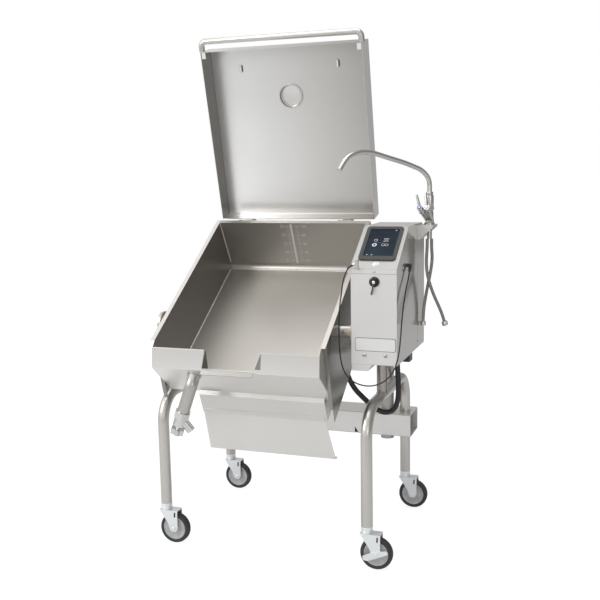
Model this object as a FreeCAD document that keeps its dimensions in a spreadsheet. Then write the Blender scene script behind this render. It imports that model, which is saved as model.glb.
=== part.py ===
import FreeCAD, Part
import math
import os
from FreeCAD import Placement, Rotation, Vector

os.makedirs("parts", exist_ok=True)
doc = FreeCAD.newDocument("TiltingSkillet")

# Driving dimensions, in millimetres and degrees. Each row is an alias and its value.
DIMENSIONS = {
    # Frame of bent tube on casters
    "leg_span_x": 852, "leg_span_y": 658, "leg_tube_dia": 44.5, "tube_wall": 2,
    "tube_foot_z": 166, "arch_axis_z": 615, "arch_bend_r": 112,
    "beam_depth": 150, "beam_height": 100, "beam_length": 932, "beam_base_z": 344, "beam_wall": 3,
    "front_post_dia": 43, "front_post_y": -85, "rear_post_dia": 60, "rear_post_x": 345,
    "rear_post_y": 330, "rear_post_foot_z": 315, "arm_height": 40, "arm_width": 60,
    # Casters
    "wheel_dia": 127, "tyre_width": 32, "tyre_depth": 15, "caster_trail": 37.5, "axle_dia": 10,
    "fork_gap": 38, "fork_sheet": 3.5, "kingpin_dia": 12,
    # Pan, in its own level frame with the trunnion axis at the origin
    "trunnion_y": -284.4, "trunnion_z": 907, "tilt_rest": 32.88, "trunnion_dia": 50,
    "pan_width": 672, "pan_centre_x": -45.8, "support_gap": 26.2, "pan_wall": 2.5, "pan_floor": 12,
        "rim_n": 62,
    "floor_n": -181, "rear_u": 596, "rim_flange": 18, "skin": 2, "side_skirt_n": -252,
    "left_skirt_n": -200, "housing_bottom_n": -281,
    # Lid, in its own closed frame with the hinge axis at the origin
    "hinge_u": 636, "hinge_n": 29, "hinge_pin_dia": 14, "lid_length": 748, "lid_width": 709,
    "lid_front_depth": 104, "lid_rear_depth": 80, "lid_seat_gap": 0.7, "lid_open": 108.58,
    "lid_wall": 2, "handle_dia": 25, "handle_reach": 41, "vent_radius": 52, "vent_v": 533,
    # Console
    "console_left_x": 368, "console_width": 174, "console_front_y": -320, "console_rear_y": 170,
    "console_floor_z": 791, "console_face_top_z": 1151, "console_top_z": 1292, "console_slope_y": -120,
    "console_sheet": 2, "console_rear_chamfer": 45,
    # Faucet
    "riser_x": 579, "riser_y": 92, "shelf_z": 1285, "shelf_sheet": 4, "riser_dia": 29,
    "spout_dia": 19, "spout_base_z": 1402, "hose_dia": 12.7, "conduit_dia": 21, "probe_dia": 5,
    # Fits
    "running_clearance": 0.05, "seat_gap": 0.3,
}

sheet = doc.addObject("Spreadsheet::Sheet", "Sizes")
for row, (alias, number) in enumerate(DIMENSIONS.items(), start=1):
    sheet.set("A%d" % row, alias)
    sheet.set("B%d" % row, str(number))
    sheet.setAlias("B%d" % row, alias)
doc.recompute()


class Sizes:
    """The sheet's values by name."""

    def __getattr__(self, alias):
        return float(sheet.get(alias))


size = Sizes()
nodes = {}
X = Vector(1, 0, 0)
Y = Vector(0, 1, 0)
Z = Vector(0, 0, 1)


def publish(label, obj, placement=None):
    """Give a finished sub-part its name, and its place if it is modelled elsewhere."""
    obj.Label = label
    if placement is not None:
        obj.Placement = placement.multiply(obj.Placement)
    nodes[label] = obj
    return obj


def turned(axis, direction=Z):
    """Rotation that carries one direction onto another."""
    return Rotation(direction, axis)


def box(name, corner, length, width, height):
    """Block from its lowest corner; each size is an expression or a number."""
    obj = doc.addObject("Part::Box", name)
    for prop, value in (("Length", length), ("Width", width), ("Height", height)):
        if isinstance(value, str):
            obj.setExpression(prop, value)
        else:
            setattr(obj, prop, value)
    obj.Placement = Placement(Vector(*corner), Rotation())
    return obj


def cylinder(name, base, axis, radius, height):
    """Round bar from the centre of its base face."""
    obj = doc.addObject("Part::Cylinder", name)
    for prop, value in (("Radius", radius), ("Height", height)):
        if isinstance(value, str):
            obj.setExpression(prop, value)
        else:
            setattr(obj, prop, value)
    obj.Placement = Placement(Vector(*base), turned(axis))
    return obj


def cut(name, base, *tools):
    """Base less its tools."""
    tool = tools[0]
    if len(tools) > 1:
        tool = fuse(name + "_tools", *tools)
    obj = doc.addObject("Part::Cut", name)
    obj.Base = base
    obj.Tool = tool
    return obj


def fuse(name, *shapes):
    """Union of several shapes."""
    obj = doc.addObject("Part::MultiFuse", name)
    obj.Shapes = list(shapes)
    obj.Refine = True
    return obj


def group(name, *shapes):
    """Separate solids kept side by side in one sub-part."""
    obj = doc.addObject("Part::Compound", name)
    obj.Links = list(shapes)
    return obj


def plane_of(body, role):
    """Origin plane of a body, found by its role."""
    return [item for item in body.Origin.OriginFeatures if item.Role == role][0]


def rounded_loop(points):
    """Edges of a closed outline. A point is (a, b) or (a, b, r) with a corner radius."""
    count = len(points)
    edges = []
    corners = []
    for index, point in enumerate(points):
        here = Vector(point[0], point[1], 0)
        radius = point[2] if len(point) > 2 else 0
        if radius == 0:
            corners.append((here, here, None))
            continue
        before = Vector(*points[index - 1][:2], 0) - here
        after = Vector(*points[(index + 1) % count][:2], 0) - here
        before.normalize()
        after.normalize()
        half = before.getAngle(after) / 2
        reach = radius / math.tan(half)
        bisector = before + after
        bisector.normalize()
        middle = here + bisector * (radius / math.sin(half) - radius)
        corners.append((here + before * reach, here + after * reach, middle))
    for index, (entry, leave, middle) in enumerate(corners):
        if middle is not None:
            edges.append(Part.Arc(entry, middle, leave))
        following = corners[(index + 1) % count][0]
        if leave.distanceToPoint(following) > 1e-6:
            edges.append(Part.LineSegment(leave, following))
    return edges


def sketch_on(body, role, loops, offset=0.0):
    """Sketch on an origin plane, moved along its normal. A loop of 3 numbers is a circle."""
    sketch = body.newObject("Sketcher::SketchObject", body.Name + "_sketch")
    sketch.AttachmentSupport = (plane_of(body, role), [""])
    sketch.MapMode = "FlatFace"
    sketch.AttachmentOffset = Placement(Vector(0, 0, offset), Rotation())
    for loop in loops:
        if isinstance(loop[0], (int, float)):
            sketch.addGeometry(Part.Circle(Vector(loop[0], loop[1], 0), Z, loop[2]), False)
        else:
            sketch.addGeometry(rounded_loop(loop), False)
    return sketch


def new_body(name):
    """Empty PartDesign body."""
    return doc.addObject("PartDesign::Body", name)


def pad(body, role, loops, length, centre=0.0):
    """Pad that runs half its length each way from its sketch."""
    feature = body.newObject("PartDesign::Pad", body.Name + "_pad")
    feature.Profile = sketch_on(body, role, loops, centre)
    feature.SideType = "Symmetric"
    if isinstance(length, str):
        feature.setExpression("Length", length)
    else:
        feature.Length = length
    return feature


def pocket(body, role, loops, length, centre=0.0):
    """Pocket that cuts half its length each way from its sketch."""
    feature = body.newObject("PartDesign::Pocket", body.Name + "_pocket")
    feature.Profile = sketch_on(body, role, loops, centre)
    feature.SideType = "Symmetric"
    if isinstance(length, str):
        feature.setExpression("Length", length)
    else:
        feature.Length = length
    return feature


def revolve(body, role, loops, axis="V_Axis"):
    """Full turn of a profile about an axis of its sketch."""
    feature = body.newObject("PartDesign::Revolution", body.Name + "_turn")
    profile = sketch_on(body, role, loops)
    feature.Profile = profile
    feature.ReferenceAxis = (profile, [axis])
    feature.Angle = 360
    return feature


def route(points, radii=None):
    """Straight runs joined by tangent arcs. Without given radii an arc takes 0.45 of its shorter run."""
    points = [Vector(*point) for point in points]
    edges = []
    used = []
    start = points[0]
    for index in range(1, len(points) - 1):
        here = points[index]
        back = points[index - 1] - here
        ahead = points[index + 1] - here
        shorter = min(back.Length, ahead.Length)
        back.normalize()
        ahead.normalize()
        half_turn = (math.pi - back.getAngle(ahead)) / 2
        radius = radii[index - 1] if radii else 0.45 * shorter / math.tan(half_turn)
        reach = radius * math.tan(half_turn)
        bisector = back + ahead
        bisector.normalize()
        middle = here + bisector * (radius / math.cos(half_turn) - radius)
        entry = here + back * reach
        leave = here + ahead * reach
        edges.append(Part.LineSegment(start, entry).toShape())
        edges.append(Part.Arc(entry, middle, leave).toShape())
        used.append(radius)
        start = leave
    edges.append(Part.LineSegment(start, points[-1]).toShape())
    return Part.Wire(edges), used


def swept(points, radius, radii=None):
    """Solid round bar along a route."""
    path, used = route(points, radii)
    direction = Vector(*points[1]) - Vector(*points[0])
    ring = Part.Wire([Part.makeCircle(radius, Vector(*points[0]), direction)])
    return path.makePipeShell([ring], True, False), path, used


def tube(name, points, outer_dia, wall=0.0, radii=None):
    """Bent tube, or a bar where the wall is zero."""
    obj = doc.addObject("Part::Feature", name)
    solid = swept(points, outer_dia / 2, radii)[0]
    if wall:
        solid = solid.cut(swept(points, outer_dia / 2 - wall, radii)[0])
    obj.Shape = solid
    return obj


def cord(name, points, diameter):
    """Cord along its route; its volume is checked against section times length."""
    solid, path, used = swept(points, diameter / 2)
    obj = doc.addObject("Part::Feature", name)
    obj.Shape = solid
    expected = math.pi * diameter ** 2 / 4 * path.Length
    print("%s length %.0f radii %s volume ratio %.4f" % (
        name, path.Length, [round(r) for r in used], solid.Volume / expected))
    return obj


# Frame: two bent tube arches, a cross-beam between the rear legs and two posts
LEG_X = size.leg_span_x / 2
LEG_Y = size.leg_span_y / 2
TUBE_R = size.leg_tube_dia / 2
ARCH_TOP_Z = size.arch_axis_z + TUBE_R
BEAM_TOP_Z = size.beam_base_z + size.beam_height

for side, sign in (("left", -1), ("right", 1)):
    arch_points = [
        (sign * LEG_X, -LEG_Y, size.tube_foot_z),
        (sign * LEG_X, -LEG_Y, size.arch_axis_z),
        (sign * LEG_X, LEG_Y, size.arch_axis_z),
        (sign * LEG_X, LEG_Y, size.tube_foot_z),
    ]
    bends = [size.arch_bend_r, size.arch_bend_r]
    publish("arch_" + side, tube("arch_" + side, arch_points, size.leg_tube_dia, size.tube_wall, bends))

# Cross-beam: box section that both rear legs and the rear post pass through
beam = new_body("beam")
half_depth = size.beam_depth / 2
half_height = size.beam_height / 2
beam_mid_z = size.beam_base_z + half_height
inner = half_depth - size.beam_wall
inner_h = half_height - size.beam_wall
pad(beam, "YZ_Plane", [
    [(LEG_Y - half_depth, beam_mid_z - half_height, 5), (LEG_Y + half_depth, beam_mid_z - half_height, 5),
     (LEG_Y + half_depth, beam_mid_z + half_height, 5), (LEG_Y - half_depth, beam_mid_z + half_height, 5)],
    [(LEG_Y - inner, beam_mid_z - inner_h, 2), (LEG_Y + inner, beam_mid_z - inner_h, 2),
     (LEG_Y + inner, beam_mid_z + inner_h, 2), (LEG_Y - inner, beam_mid_z + inner_h, 2)],
], "Sizes.beam_length")
pocket(beam, "XY_Plane", [
    (-LEG_X, LEG_Y, TUBE_R), (LEG_X, LEG_Y, TUBE_R),
    (size.rear_post_x, size.rear_post_y, size.rear_post_dia / 2),
], "Sizes.beam_height * 1.2", beam_mid_z)
notch_x = 215
pocket(beam, "XZ_Plane", [
    [(notch_x, size.beam_base_z - 1), (notch_x + 19, size.beam_base_z - 1), (notch_x, size.beam_base_z + 31)],
], "Sizes.beam_wall * 4", -(LEG_Y - half_depth))
publish("cross_beam", beam)

# Front post: stands on the right arch with a saddle cut, and carries the console floor
post_blank = cylinder("post_blank", (LEG_X, size.front_post_y, size.arch_axis_z), Z,
                      "Sizes.front_post_dia / 2", "Sizes.console_floor_z - Sizes.arch_axis_z")
post_saddle = cylinder("post_saddle", (LEG_X, size.front_post_y - 60, size.arch_axis_z), Y,
                       "Sizes.leg_tube_dia / 2", 120)
post_bore = cylinder("post_bore", (LEG_X, size.front_post_y, size.arch_axis_z), Z,
                     "Sizes.front_post_dia / 2 - Sizes.tube_wall",
                         "Sizes.console_floor_z - Sizes.arch_axis_z")
publish("front_post", cut("front_post", post_blank, post_saddle, post_bore))

# Rear post: pipe through the beam up to the support arm under the console's rear half
ARM_Z = size.console_floor_z - size.arm_height
pipe = cylinder("rear_pipe", (size.rear_post_x, size.rear_post_y, size.rear_post_foot_z), Z,
                "Sizes.rear_post_dia / 2",
                "Sizes.console_floor_z - Sizes.arm_height - Sizes.rear_post_foot_z")
pipe_bore = cylinder("rear_pipe_bore", (size.rear_post_x, size.rear_post_y, size.rear_post_foot_z), Z,
                     "Sizes.rear_post_dia / 2 - Sizes.tube_wall",
                     "Sizes.console_floor_z - Sizes.arm_height - Sizes.rear_post_foot_z")
rear_pipe = cut("rear_post_pipe", pipe, pipe_bore)

# Support arm: welded angle of box section from the rear post to the console floor
arm_left = size.rear_post_x - size.rear_post_dia / 2
arm_right = LEG_X + 20
arm = new_body("arm")
pad(arm, "XY_Plane", [[
    (arm_left, size.rear_post_y + 32, 6), (arm_left, size.rear_post_y - 32, 6),
    (arm_right - size.arm_width, size.rear_post_y - 32), (arm_right - size.arm_width, 40, 4),
    (arm_right, 40, 4), (arm_right, size.rear_post_y + 32, 6),
]], "Sizes.arm_height", ARM_Z + size.arm_height / 2)
publish("rear_post", group("rear_post", rear_pipe, arm))

# Left support: plate pedestal that leans forward from the arch to the trunnion bearing
TRUNNION = Vector(0, size.trunnion_y, size.trunnion_z)
INNER_L = size.pan_centre_x - size.pan_width / 2
OUTER_L = INNER_L - size.rim_flange
BEARING_R = 46
FOOT_HALF = 21
support_x = OUTER_L - size.support_gap
foot_left = min(support_x, -LEG_X) - FOOT_HALF
foot_right = max(support_x, -LEG_X) + FOOT_HALF
pedestal = new_body("pedestal")
pad(pedestal, "YZ_Plane", [
    [(-205, ARCH_TOP_Z + 6), (size.trunnion_y - BEARING_R, size.trunnion_z - 12, 30),
     (size.trunnion_y - BEARING_R, size.trunnion_z + BEARING_R, 45),
     (size.trunnion_y + BEARING_R, size.trunnion_z + BEARING_R, 45), (-20, ARCH_TOP_Z + 6)],
    (size.trunnion_y, size.trunnion_z, size.trunnion_dia / 2 + 6),
], 12, support_x - 4)
foot = box("pedestal_foot_blank", (foot_left, -205, ARCH_TOP_Z - 8), foot_right - foot_left, 185, 14)
foot_saddle = cylinder("foot_saddle", (-LEG_X, -210, size.arch_axis_z), Y, "Sizes.leg_tube_dia / 2", 200)
publish("left_support", group("left_support", pedestal, cut("support_foot", foot, foot_saddle)))

# Trunnion bearings: flanged sleeves in the left pedestal and in the console's left wall
SHAFT_R = size.trunnion_dia / 2
BUSH_R = SHAFT_R + 6


def bearing(name, start_x, length, flange_x):
    """Flanged sleeve around the trunnion axis."""
    sleeve = cylinder(name + "_sleeve", (start_x, size.trunnion_y, size.trunnion_z), X,
                      "Sizes.trunnion_dia / 2 + 6", length)
    flange = cylinder(name + "_flange", (flange_x, size.trunnion_y, size.trunnion_z), X,
                      "Sizes.trunnion_dia / 2 + 14", 4)
    bore = cylinder(name + "_bore", (start_x - 10, size.trunnion_y, size.trunnion_z), X,
                    "Sizes.trunnion_dia / 2 + Sizes.running_clearance", length + 20)
    return cut(name, fuse(name + "_body", sleeve, flange), bore)


wall_x = size.console_left_x
publish("trunnion_bearings", group(
    "trunnion_bearings",
    bearing("left_bearing", support_x - 14, 24, support_x + 2),
    bearing("right_bearing", wall_x - 4, 30, wall_x - 4),
))

# Caster cups: raceway and kingpin under each leg
caster_places = {"fl": (-LEG_X, -LEG_Y), "rl": (-LEG_X, LEG_Y), "fr": (LEG_X, -LEG_Y), "rr": (LEG_X, LEG_Y)}
FORK_TOP_Z = 151
cups = []
for key, (leg_x, leg_y) in caster_places.items():
    race = cylinder("race_" + key, (leg_x, leg_y, FORK_TOP_Z + size.seat_gap), Z, "Sizes.leg_tube_dia / 2",
                    size.tube_foot_z - FORK_TOP_Z - size.seat_gap)
    pin = cylinder("kingpin_" + key, (leg_x, leg_y, FORK_TOP_Z - 15), Z, "Sizes.kingpin_dia / 2", 15.5)
    head = cylinder("kinghead_" + key, (leg_x, leg_y, FORK_TOP_Z - 19.3), Z, 10, 5)
    cups.append(fuse("cup_" + key, race, pin, head))
publish("caster_cups", group("caster_cups", *cups))

# Casters: pressed fork, hub and tyre, all trailing towards +X at rest
WHEEL_R = size.wheel_dia / 2
HUB_R = WHEEL_R - size.tyre_depth
AXLE_R = size.axle_dia / 2
FORK_HALF = size.fork_gap / 2
for key, (leg_x, leg_y) in caster_places.items():
    axle_x = leg_x + size.caster_trail
    fork = new_body("fork_" + key)
    pad(fork, "XZ_Plane", [
        [(leg_x - 22, FORK_TOP_Z - 12), (axle_x - 24, WHEEL_R + 22, 8), (axle_x - 12, WHEEL_R - 13, 10),
         (axle_x + 12, WHEEL_R - 13, 10), (axle_x + 19, WHEEL_R + 4, 8), (axle_x + 19, FORK_TOP_Z - 12)],
        (axle_x, WHEEL_R, AXLE_R),
    ], "Sizes.fork_gap + 2 * Sizes.fork_sheet", -leg_y)
    pad(fork, "XY_Plane", [[
        (leg_x - 24, leg_y - FORK_HALF - size.fork_sheet, 6),
        (axle_x + 19, leg_y - FORK_HALF - size.fork_sheet, 4),
        (axle_x + 19, leg_y + FORK_HALF + size.fork_sheet, 4),
        (leg_x - 24, leg_y + FORK_HALF + size.fork_sheet, 6),
    ]], 4, FORK_TOP_Z - 12)
    pad(fork, "XY_Plane", [(leg_x, leg_y, 20)], 10, FORK_TOP_Z - 5)
    pocket(fork, "XZ_Plane", [[
        (leg_x - 60, -5), (leg_x + 110, -5), (leg_x + 110, FORK_TOP_Z - 14), (leg_x - 60, FORK_TOP_Z - 14),
    ]], "Sizes.fork_gap", -leg_y)
    pocket(fork, "XY_Plane", [(leg_x, leg_y, size.kingpin_dia / 2 + size.running_clearance)], 60, FORK_TOP_Z)
    axle = cylinder("axle_" + key, (axle_x, leg_y - FORK_HALF - size.fork_sheet, WHEEL_R), Y,
                    "Sizes.axle_dia / 2", "Sizes.fork_gap + 2 * Sizes.fork_sheet")
    fork_pieces = [fork, axle]
    if key == "fr":
        stud_y = leg_y - FORK_HALF - size.fork_sheet
        stud = cylinder("brake_stud", (axle_x, stud_y, WHEEL_R), -Y, "Sizes.axle_dia / 2", 10)
        stud_nut = cylinder("brake_stud_nut", (axle_x, stud_y - 5.6, WHEEL_R), -Y, 9, 5)
        fork_pieces.append(fuse("brake_pivot", stud, stud_nut))
    publish("caster_fork_" + key, group("caster_fork_" + key, *fork_pieces))

    hub = new_body("hub_" + key)
    revolve(hub, "XY_Plane", [[
        (AXLE_R + size.running_clearance, -18), (13, -18, 1), (15, -12, 2), (HUB_R - 7, -9, 2),
        (HUB_R - 3, -14, 1),
        (HUB_R, -14), (HUB_R, 14), (HUB_R - 3, 14, 1), (HUB_R - 7, 9, 2), (15, 12, 2), (13, 18, 1),
        (AXLE_R + size.running_clearance, 18),
    ]])
    publish("caster_hub_" + key, hub, Placement(Vector(axle_x, leg_y, WHEEL_R), Rotation()))
    tyre = new_body("tyre_" + key)
    half_tyre = size.tyre_width / 2
    revolve(tyre, "XY_Plane", [[
        (HUB_R, -14), (HUB_R + 3, -half_tyre, 2), (WHEEL_R, -half_tyre, 7), (WHEEL_R, half_tyre, 7),
        (HUB_R + 3, half_tyre, 2), (HUB_R, 14),
    ]])
    publish("caster_tyre_" + key, tyre, Placement(Vector(axle_x, leg_y, WHEEL_R), Rotation()))

# Brake lever: pressed bar that turns about the front right axle, outside the fork
brake_x = LEG_X + size.caster_trail
brake = new_body("brake")
brake_face = -LEG_Y - FORK_HALF - size.fork_sheet - size.seat_gap
pad(brake, "XZ_Plane", [
    [(brake_x - 48, WHEEL_R - 24, 6), (brake_x - 30, WHEEL_R - 26, 6), (brake_x + 2, WHEEL_R - 13, 8),
     (brake_x + 50, WHEEL_R + 8, 6), (brake_x + 48, WHEEL_R + 22, 6), (brake_x - 6, WHEEL_R + 13, 8),
     (brake_x - 50, WHEEL_R - 8, 6)],
    (brake_x, WHEEL_R, AXLE_R + size.running_clearance),
], 5, -brake_face + 2.5)
publish("caster_brake", brake)

# Pan frame: x across, u rearwards and n up from the trunnion axis, level. The photo's tilt is put in last.
PAN = Placement(TRUNNION, Rotation(X, size.tilt_rest))
INNER_R = size.pan_centre_x + size.pan_width / 2
OUTER_R = INNER_R + size.rim_flange
LIP_U = -235
LIP_N = -12
GUARD_U = -189
GUARD_N = 50
TOE_U = -172
RIM_FRONT_U = -161
wall = size.pan_wall

tub = new_body("tub")
pad(tub, "YZ_Plane", [[
    (TOE_U - 3 * wall, size.floor_n - size.pan_floor, 6), (LIP_U - 1.2 * wall, LIP_N, 3),
    (GUARD_U - wall, GUARD_N, 1),
    (GUARD_U, GUARD_N + wall), (RIM_FRONT_U, size.rim_n), (size.rear_u + wall, size.rim_n),
    (size.rear_u + wall - 8, size.floor_n - size.pan_floor, 12),
]], "Sizes.pan_width + 2 * Sizes.pan_wall", size.pan_centre_x)
pad(tub, "XY_Plane", [[
    (OUTER_L, RIM_FRONT_U), (OUTER_R, RIM_FRONT_U),
    (OUTER_R, size.rear_u + size.rim_flange, 6), (OUTER_L, size.rear_u + size.rim_flange, 6),
]], "Sizes.pan_wall", size.rim_n - wall / 2)
pocket(tub, "YZ_Plane", [[
    (TOE_U, size.floor_n, 14), (LIP_U, LIP_N, 2), (GUARD_U, GUARD_N), (GUARD_U, size.rim_n + 5),
    (size.rear_u, size.rim_n + 5), (size.rear_u, size.rim_n), (size.rear_u - 8, size.floor_n, 25),
]], "Sizes.pan_width", size.pan_centre_x)
NOTCH_TOP = (-160, 66)
NOTCH_LIP = (-176, 34)
pocket(tub, "XZ_Plane", [[
    (NOTCH_LIP[0], LIP_N + 6), (NOTCH_LIP[1], LIP_N + 6), (NOTCH_TOP[1], GUARD_N + 20),
    (NOTCH_TOP[0], GUARD_N + 20),
]], 80, -(GUARD_U - 15))

# Pouring channel: folded sheet below the notch with a cheek on each side
spout_lip = new_body("spout_lip")
pad(spout_lip, "YZ_Plane", [[
    (LIP_U - 1.2 * wall - 0.4, LIP_N + 4), (LIP_U - 20, LIP_N - 2), (LIP_U - 21, LIP_N - 5, 1),
    (LIP_U - 1.2 * wall - 0.4, LIP_N),
]], NOTCH_LIP[1] - NOTCH_LIP[0], sum(NOTCH_LIP) / 2)

# Drain root on the outer face of the sloping front wall, where the wall is bored through
DRAIN_X = -221
DRAIN_DIA = 48
DRAIN_WALL = 3
wall_foot = Vector(0, TOE_U - 3 * wall, size.floor_n - size.pan_floor)
wall_head = Vector(0, LIP_U - 1.2 * wall, LIP_N)
wall_dir = wall_head - wall_foot
DRAIN_ROOT = Vector(DRAIN_X, 0, 0) + wall_foot + wall_dir * 0.79
wall_dir.normalize()
OUTWARD = Vector(0, -wall_dir.z, wall_dir.y)
drain_hole = cylinder("drain_hole", tuple(DRAIN_ROOT - OUTWARD * 14), OUTWARD, DRAIN_DIA / 2 - DRAIN_WALL, 20)
publish("pan_tub", group("pan_tub", cut("tub_bored", tub, drain_hole), spout_lip), PAN)

# Outer jacket: skirt under the rim flange, deeper on the right side, open to the front and below
jacket = new_body("jacket")
skin = size.skin
under_rim = size.rim_n - wall
PANEL_FRONT = [(-141, under_rim), (-208, -150, 60), (-233, size.side_skirt_n)]
pad(jacket, "YZ_Plane", [[
    *PANEL_FRONT, (size.rear_u + size.rim_flange - 1, size.side_skirt_n, 10),
    (size.rear_u + size.rim_flange - 1, under_rim),
]], "Sizes.pan_width + 2 * Sizes.rim_flange - 1", size.pan_centre_x)
front_skin = 3
pocket(jacket, "YZ_Plane", [[
    (-141 + front_skin, under_rim + 5), (-141 + front_skin, under_rim), (-208 + front_skin, -150, 57),
    (-233 + front_skin, size.side_skirt_n - 5),
    (size.rear_u + size.rim_flange - 1 - skin, size.side_skirt_n - 5),
    (size.rear_u + size.rim_flange - 1 - skin, under_rim + 5),
]], "Sizes.pan_width + 2 * Sizes.rim_flange - 1 - 2 * Sizes.skin", size.pan_centre_x)
pocket(jacket, "YZ_Plane", [[
    (-260, under_rim + 5), (-260, size.side_skirt_n - 5), (-100, size.side_skirt_n - 5),
    (-100, under_rim + 5),
]], "Sizes.pan_width + 2 * Sizes.pan_wall", size.pan_centre_x)
pocket(jacket, "XZ_Plane", [[
    (OUTER_L - 5, size.side_skirt_n - 5), (OUTER_R - skin - 0.5, size.side_skirt_n - 5),
    (OUTER_R - skin - 0.5, size.left_skirt_n), (OUTER_L - 5, size.left_skirt_n),
]], 2400, 0)
pocket(jacket, "YZ_Plane", [(0, 0, SHAFT_R)], 900, 0)
publish("pan_jacket", jacket, PAN)

# Heater housing: folded tray under the pan floor
HOUSE_L = -254
HOUSE_R = 268
house_top = size.floor_n - size.pan_floor
housing = new_body("housing")
house_outline = [(-196, house_top), (-210, size.housing_bottom_n, 4), (560, size.housing_bottom_n, 6),
                 (580, house_top)]
pad(housing, "YZ_Plane", [house_outline], HOUSE_R - HOUSE_L, (HOUSE_R + HOUSE_L) / 2)
pocket(housing, "YZ_Plane", [[
    (-196 + skin, house_top + 1), (-210 + skin, size.housing_bottom_n + skin, 2),
    (560 - skin, size.housing_bottom_n + skin, 4), (580 - skin, house_top + 1),
]], HOUSE_R - HOUSE_L - 2 * skin, (HOUSE_R + HOUSE_L) / 2)
publish("heater_housing", housing, PAN)

# Heating elements: six flat bars clamped to the underside of the floor plate
bars = []
for index in range(6):
    bar_u = -120 + index * 115
    bars.append(box("element_%d" % index, (HOUSE_L + 30, bar_u, house_top - 14), HOUSE_R - HOUSE_L - 60, 60,
                    14))
elements = group("heating_elements", *bars)
publish("heating_elements", elements, PAN)

# Drip shield: sloping apron that hangs from the housing's front edge
SHIELD_LOW = (-287, -406)
LAP = 19
house_lean = (210 - 196) / (house_top - size.housing_bottom_n)
lap_n = size.housing_bottom_n + LAP
lap_u = -210 + LAP * house_lean
shield = new_body("shield")
pad(shield, "YZ_Plane", [[
    (lap_u - skin, lap_n), (-210 - skin, size.housing_bottom_n - 1, 8),
    (SHIELD_LOW[0] - skin, SHIELD_LOW[1] + 1, 1),
    (SHIELD_LOW[0] + 14, SHIELD_LOW[1] - 4, 1), (SHIELD_LOW[0] + 14, SHIELD_LOW[1] - 4 + skin, 1),
    (SHIELD_LOW[0] + 1, SHIELD_LOW[1] + 2 * skin, 1), (-210.6, size.housing_bottom_n - 1), (lap_u, lap_n),
]], 300 - HOUSE_L, (300 + HOUSE_L) / 2)
pocket(shield, "XZ_Plane", [
    [(HOUSE_L - 40, lap_n + 5), (HOUSE_L - 1, lap_n + 5), (-226, SHIELD_LOW[1] - 10),
     (HOUSE_L - 40, SHIELD_LOW[1] - 10)],
    [(253, lap_n + 5), (330, lap_n + 5), (330, SHIELD_LOW[1] - 10), (302, SHIELD_LOW[1] - 10)],
], 300, 250)
publish("drip_shield", shield, PAN)

# Trunnion shafts: a flanged stub on each side of the pan
left_end = support_x - 18
right_end = wall_x + 62
PLATE = 5
left_shaft = cylinder("left_stub", (left_end, 0, 0), X, "Sizes.trunnion_dia / 2", INNER_L - wall - left_end)
right_shaft = cylinder("right_stub", (INNER_R + wall, 0, 0), X, "Sizes.trunnion_dia / 2",
                       right_end - INNER_R - wall)
publish("trunnion_shafts", group("trunnion_shafts", left_shaft, right_shaft), PAN)

# Hinge brackets: two ears behind the rear jacket, each with its pin
HINGE_U = size.hinge_u
HINGE_N = size.hinge_n
PIN_R = size.hinge_pin_dia / 2
REAR_FACE_U = size.rear_u + size.rim_flange - 1
EAR = 10
KNUCKLE = 40
hinge_spots = (size.pan_centre_x - 230, size.pan_centre_x + 230)
ears = []
for index, spot in enumerate(hinge_spots):
    for step, side in enumerate((-1, 1)):
        ear = new_body("ear_%d_%d" % (index, step))
        pad(ear, "YZ_Plane", [
            [(REAR_FACE_U, HINGE_N - 70, 2), (REAR_FACE_U + 12, HINGE_N - 70, 4),
            (HINGE_U + 17, HINGE_N - 17, 16),
             (HINGE_U + 17, HINGE_N + 17, 16), (HINGE_U - 8, HINGE_N + 17, 6), (REAR_FACE_U, HINGE_N + 10)],
            (HINGE_U, HINGE_N, PIN_R),
        ], EAR, spot + side * (KNUCKLE / 2 + size.seat_gap + EAR / 2))
        ears.append(ear)
    span = KNUCKLE + 2 * size.seat_gap + 2 * EAR
    ears.append(cylinder("hinge_pin_%d" % index, (spot - span / 2 - 3, HINGE_U, HINGE_N), X,
                         "Sizes.hinge_pin_dia / 2", span + 6))
publish("hinge_brackets", group("hinge_brackets", *ears), PAN)

# Drain: stub on the sloping front wall, bent pipe, hexagon collar and star knob valve
DRAIN_END = Vector(-262, -322, -156)
knee = DRAIN_ROOT + OUTWARD * 42
down = DRAIN_END - knee
down.normalize()
drain_points = [tuple(DRAIN_ROOT), tuple(knee), tuple(DRAIN_END)]
drain = doc.addObject("Part::Feature", "drain_pipe")
drain_solid = swept(drain_points, DRAIN_DIA / 2, [30])[0]
weld_ring = Part.makeCylinder(DRAIN_DIA / 2 + 4, 5, DRAIN_ROOT, OUTWARD)
drain_bore = swept(drain_points, DRAIN_DIA / 2 - DRAIN_WALL, [30])[0]
drain.Shape = drain_solid.fuse(weld_ring).cut(drain_bore)
publish("drain_pipe", drain, PAN)


def hexagon(across, length, base, axis):
    """Hexagon bar from the centre of its base."""
    radius = across / math.sqrt(3)
    corners = [Vector(radius * math.cos(math.radians(60 * k)), radius * math.sin(math.radians(60 * k)), 0)
               for k in range(7)]
    bar = Part.Face(Part.makePolygon(corners)).extrude(Vector(0, 0, length))
    bar.Placement = Placement(base, turned(axis))
    return bar


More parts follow.
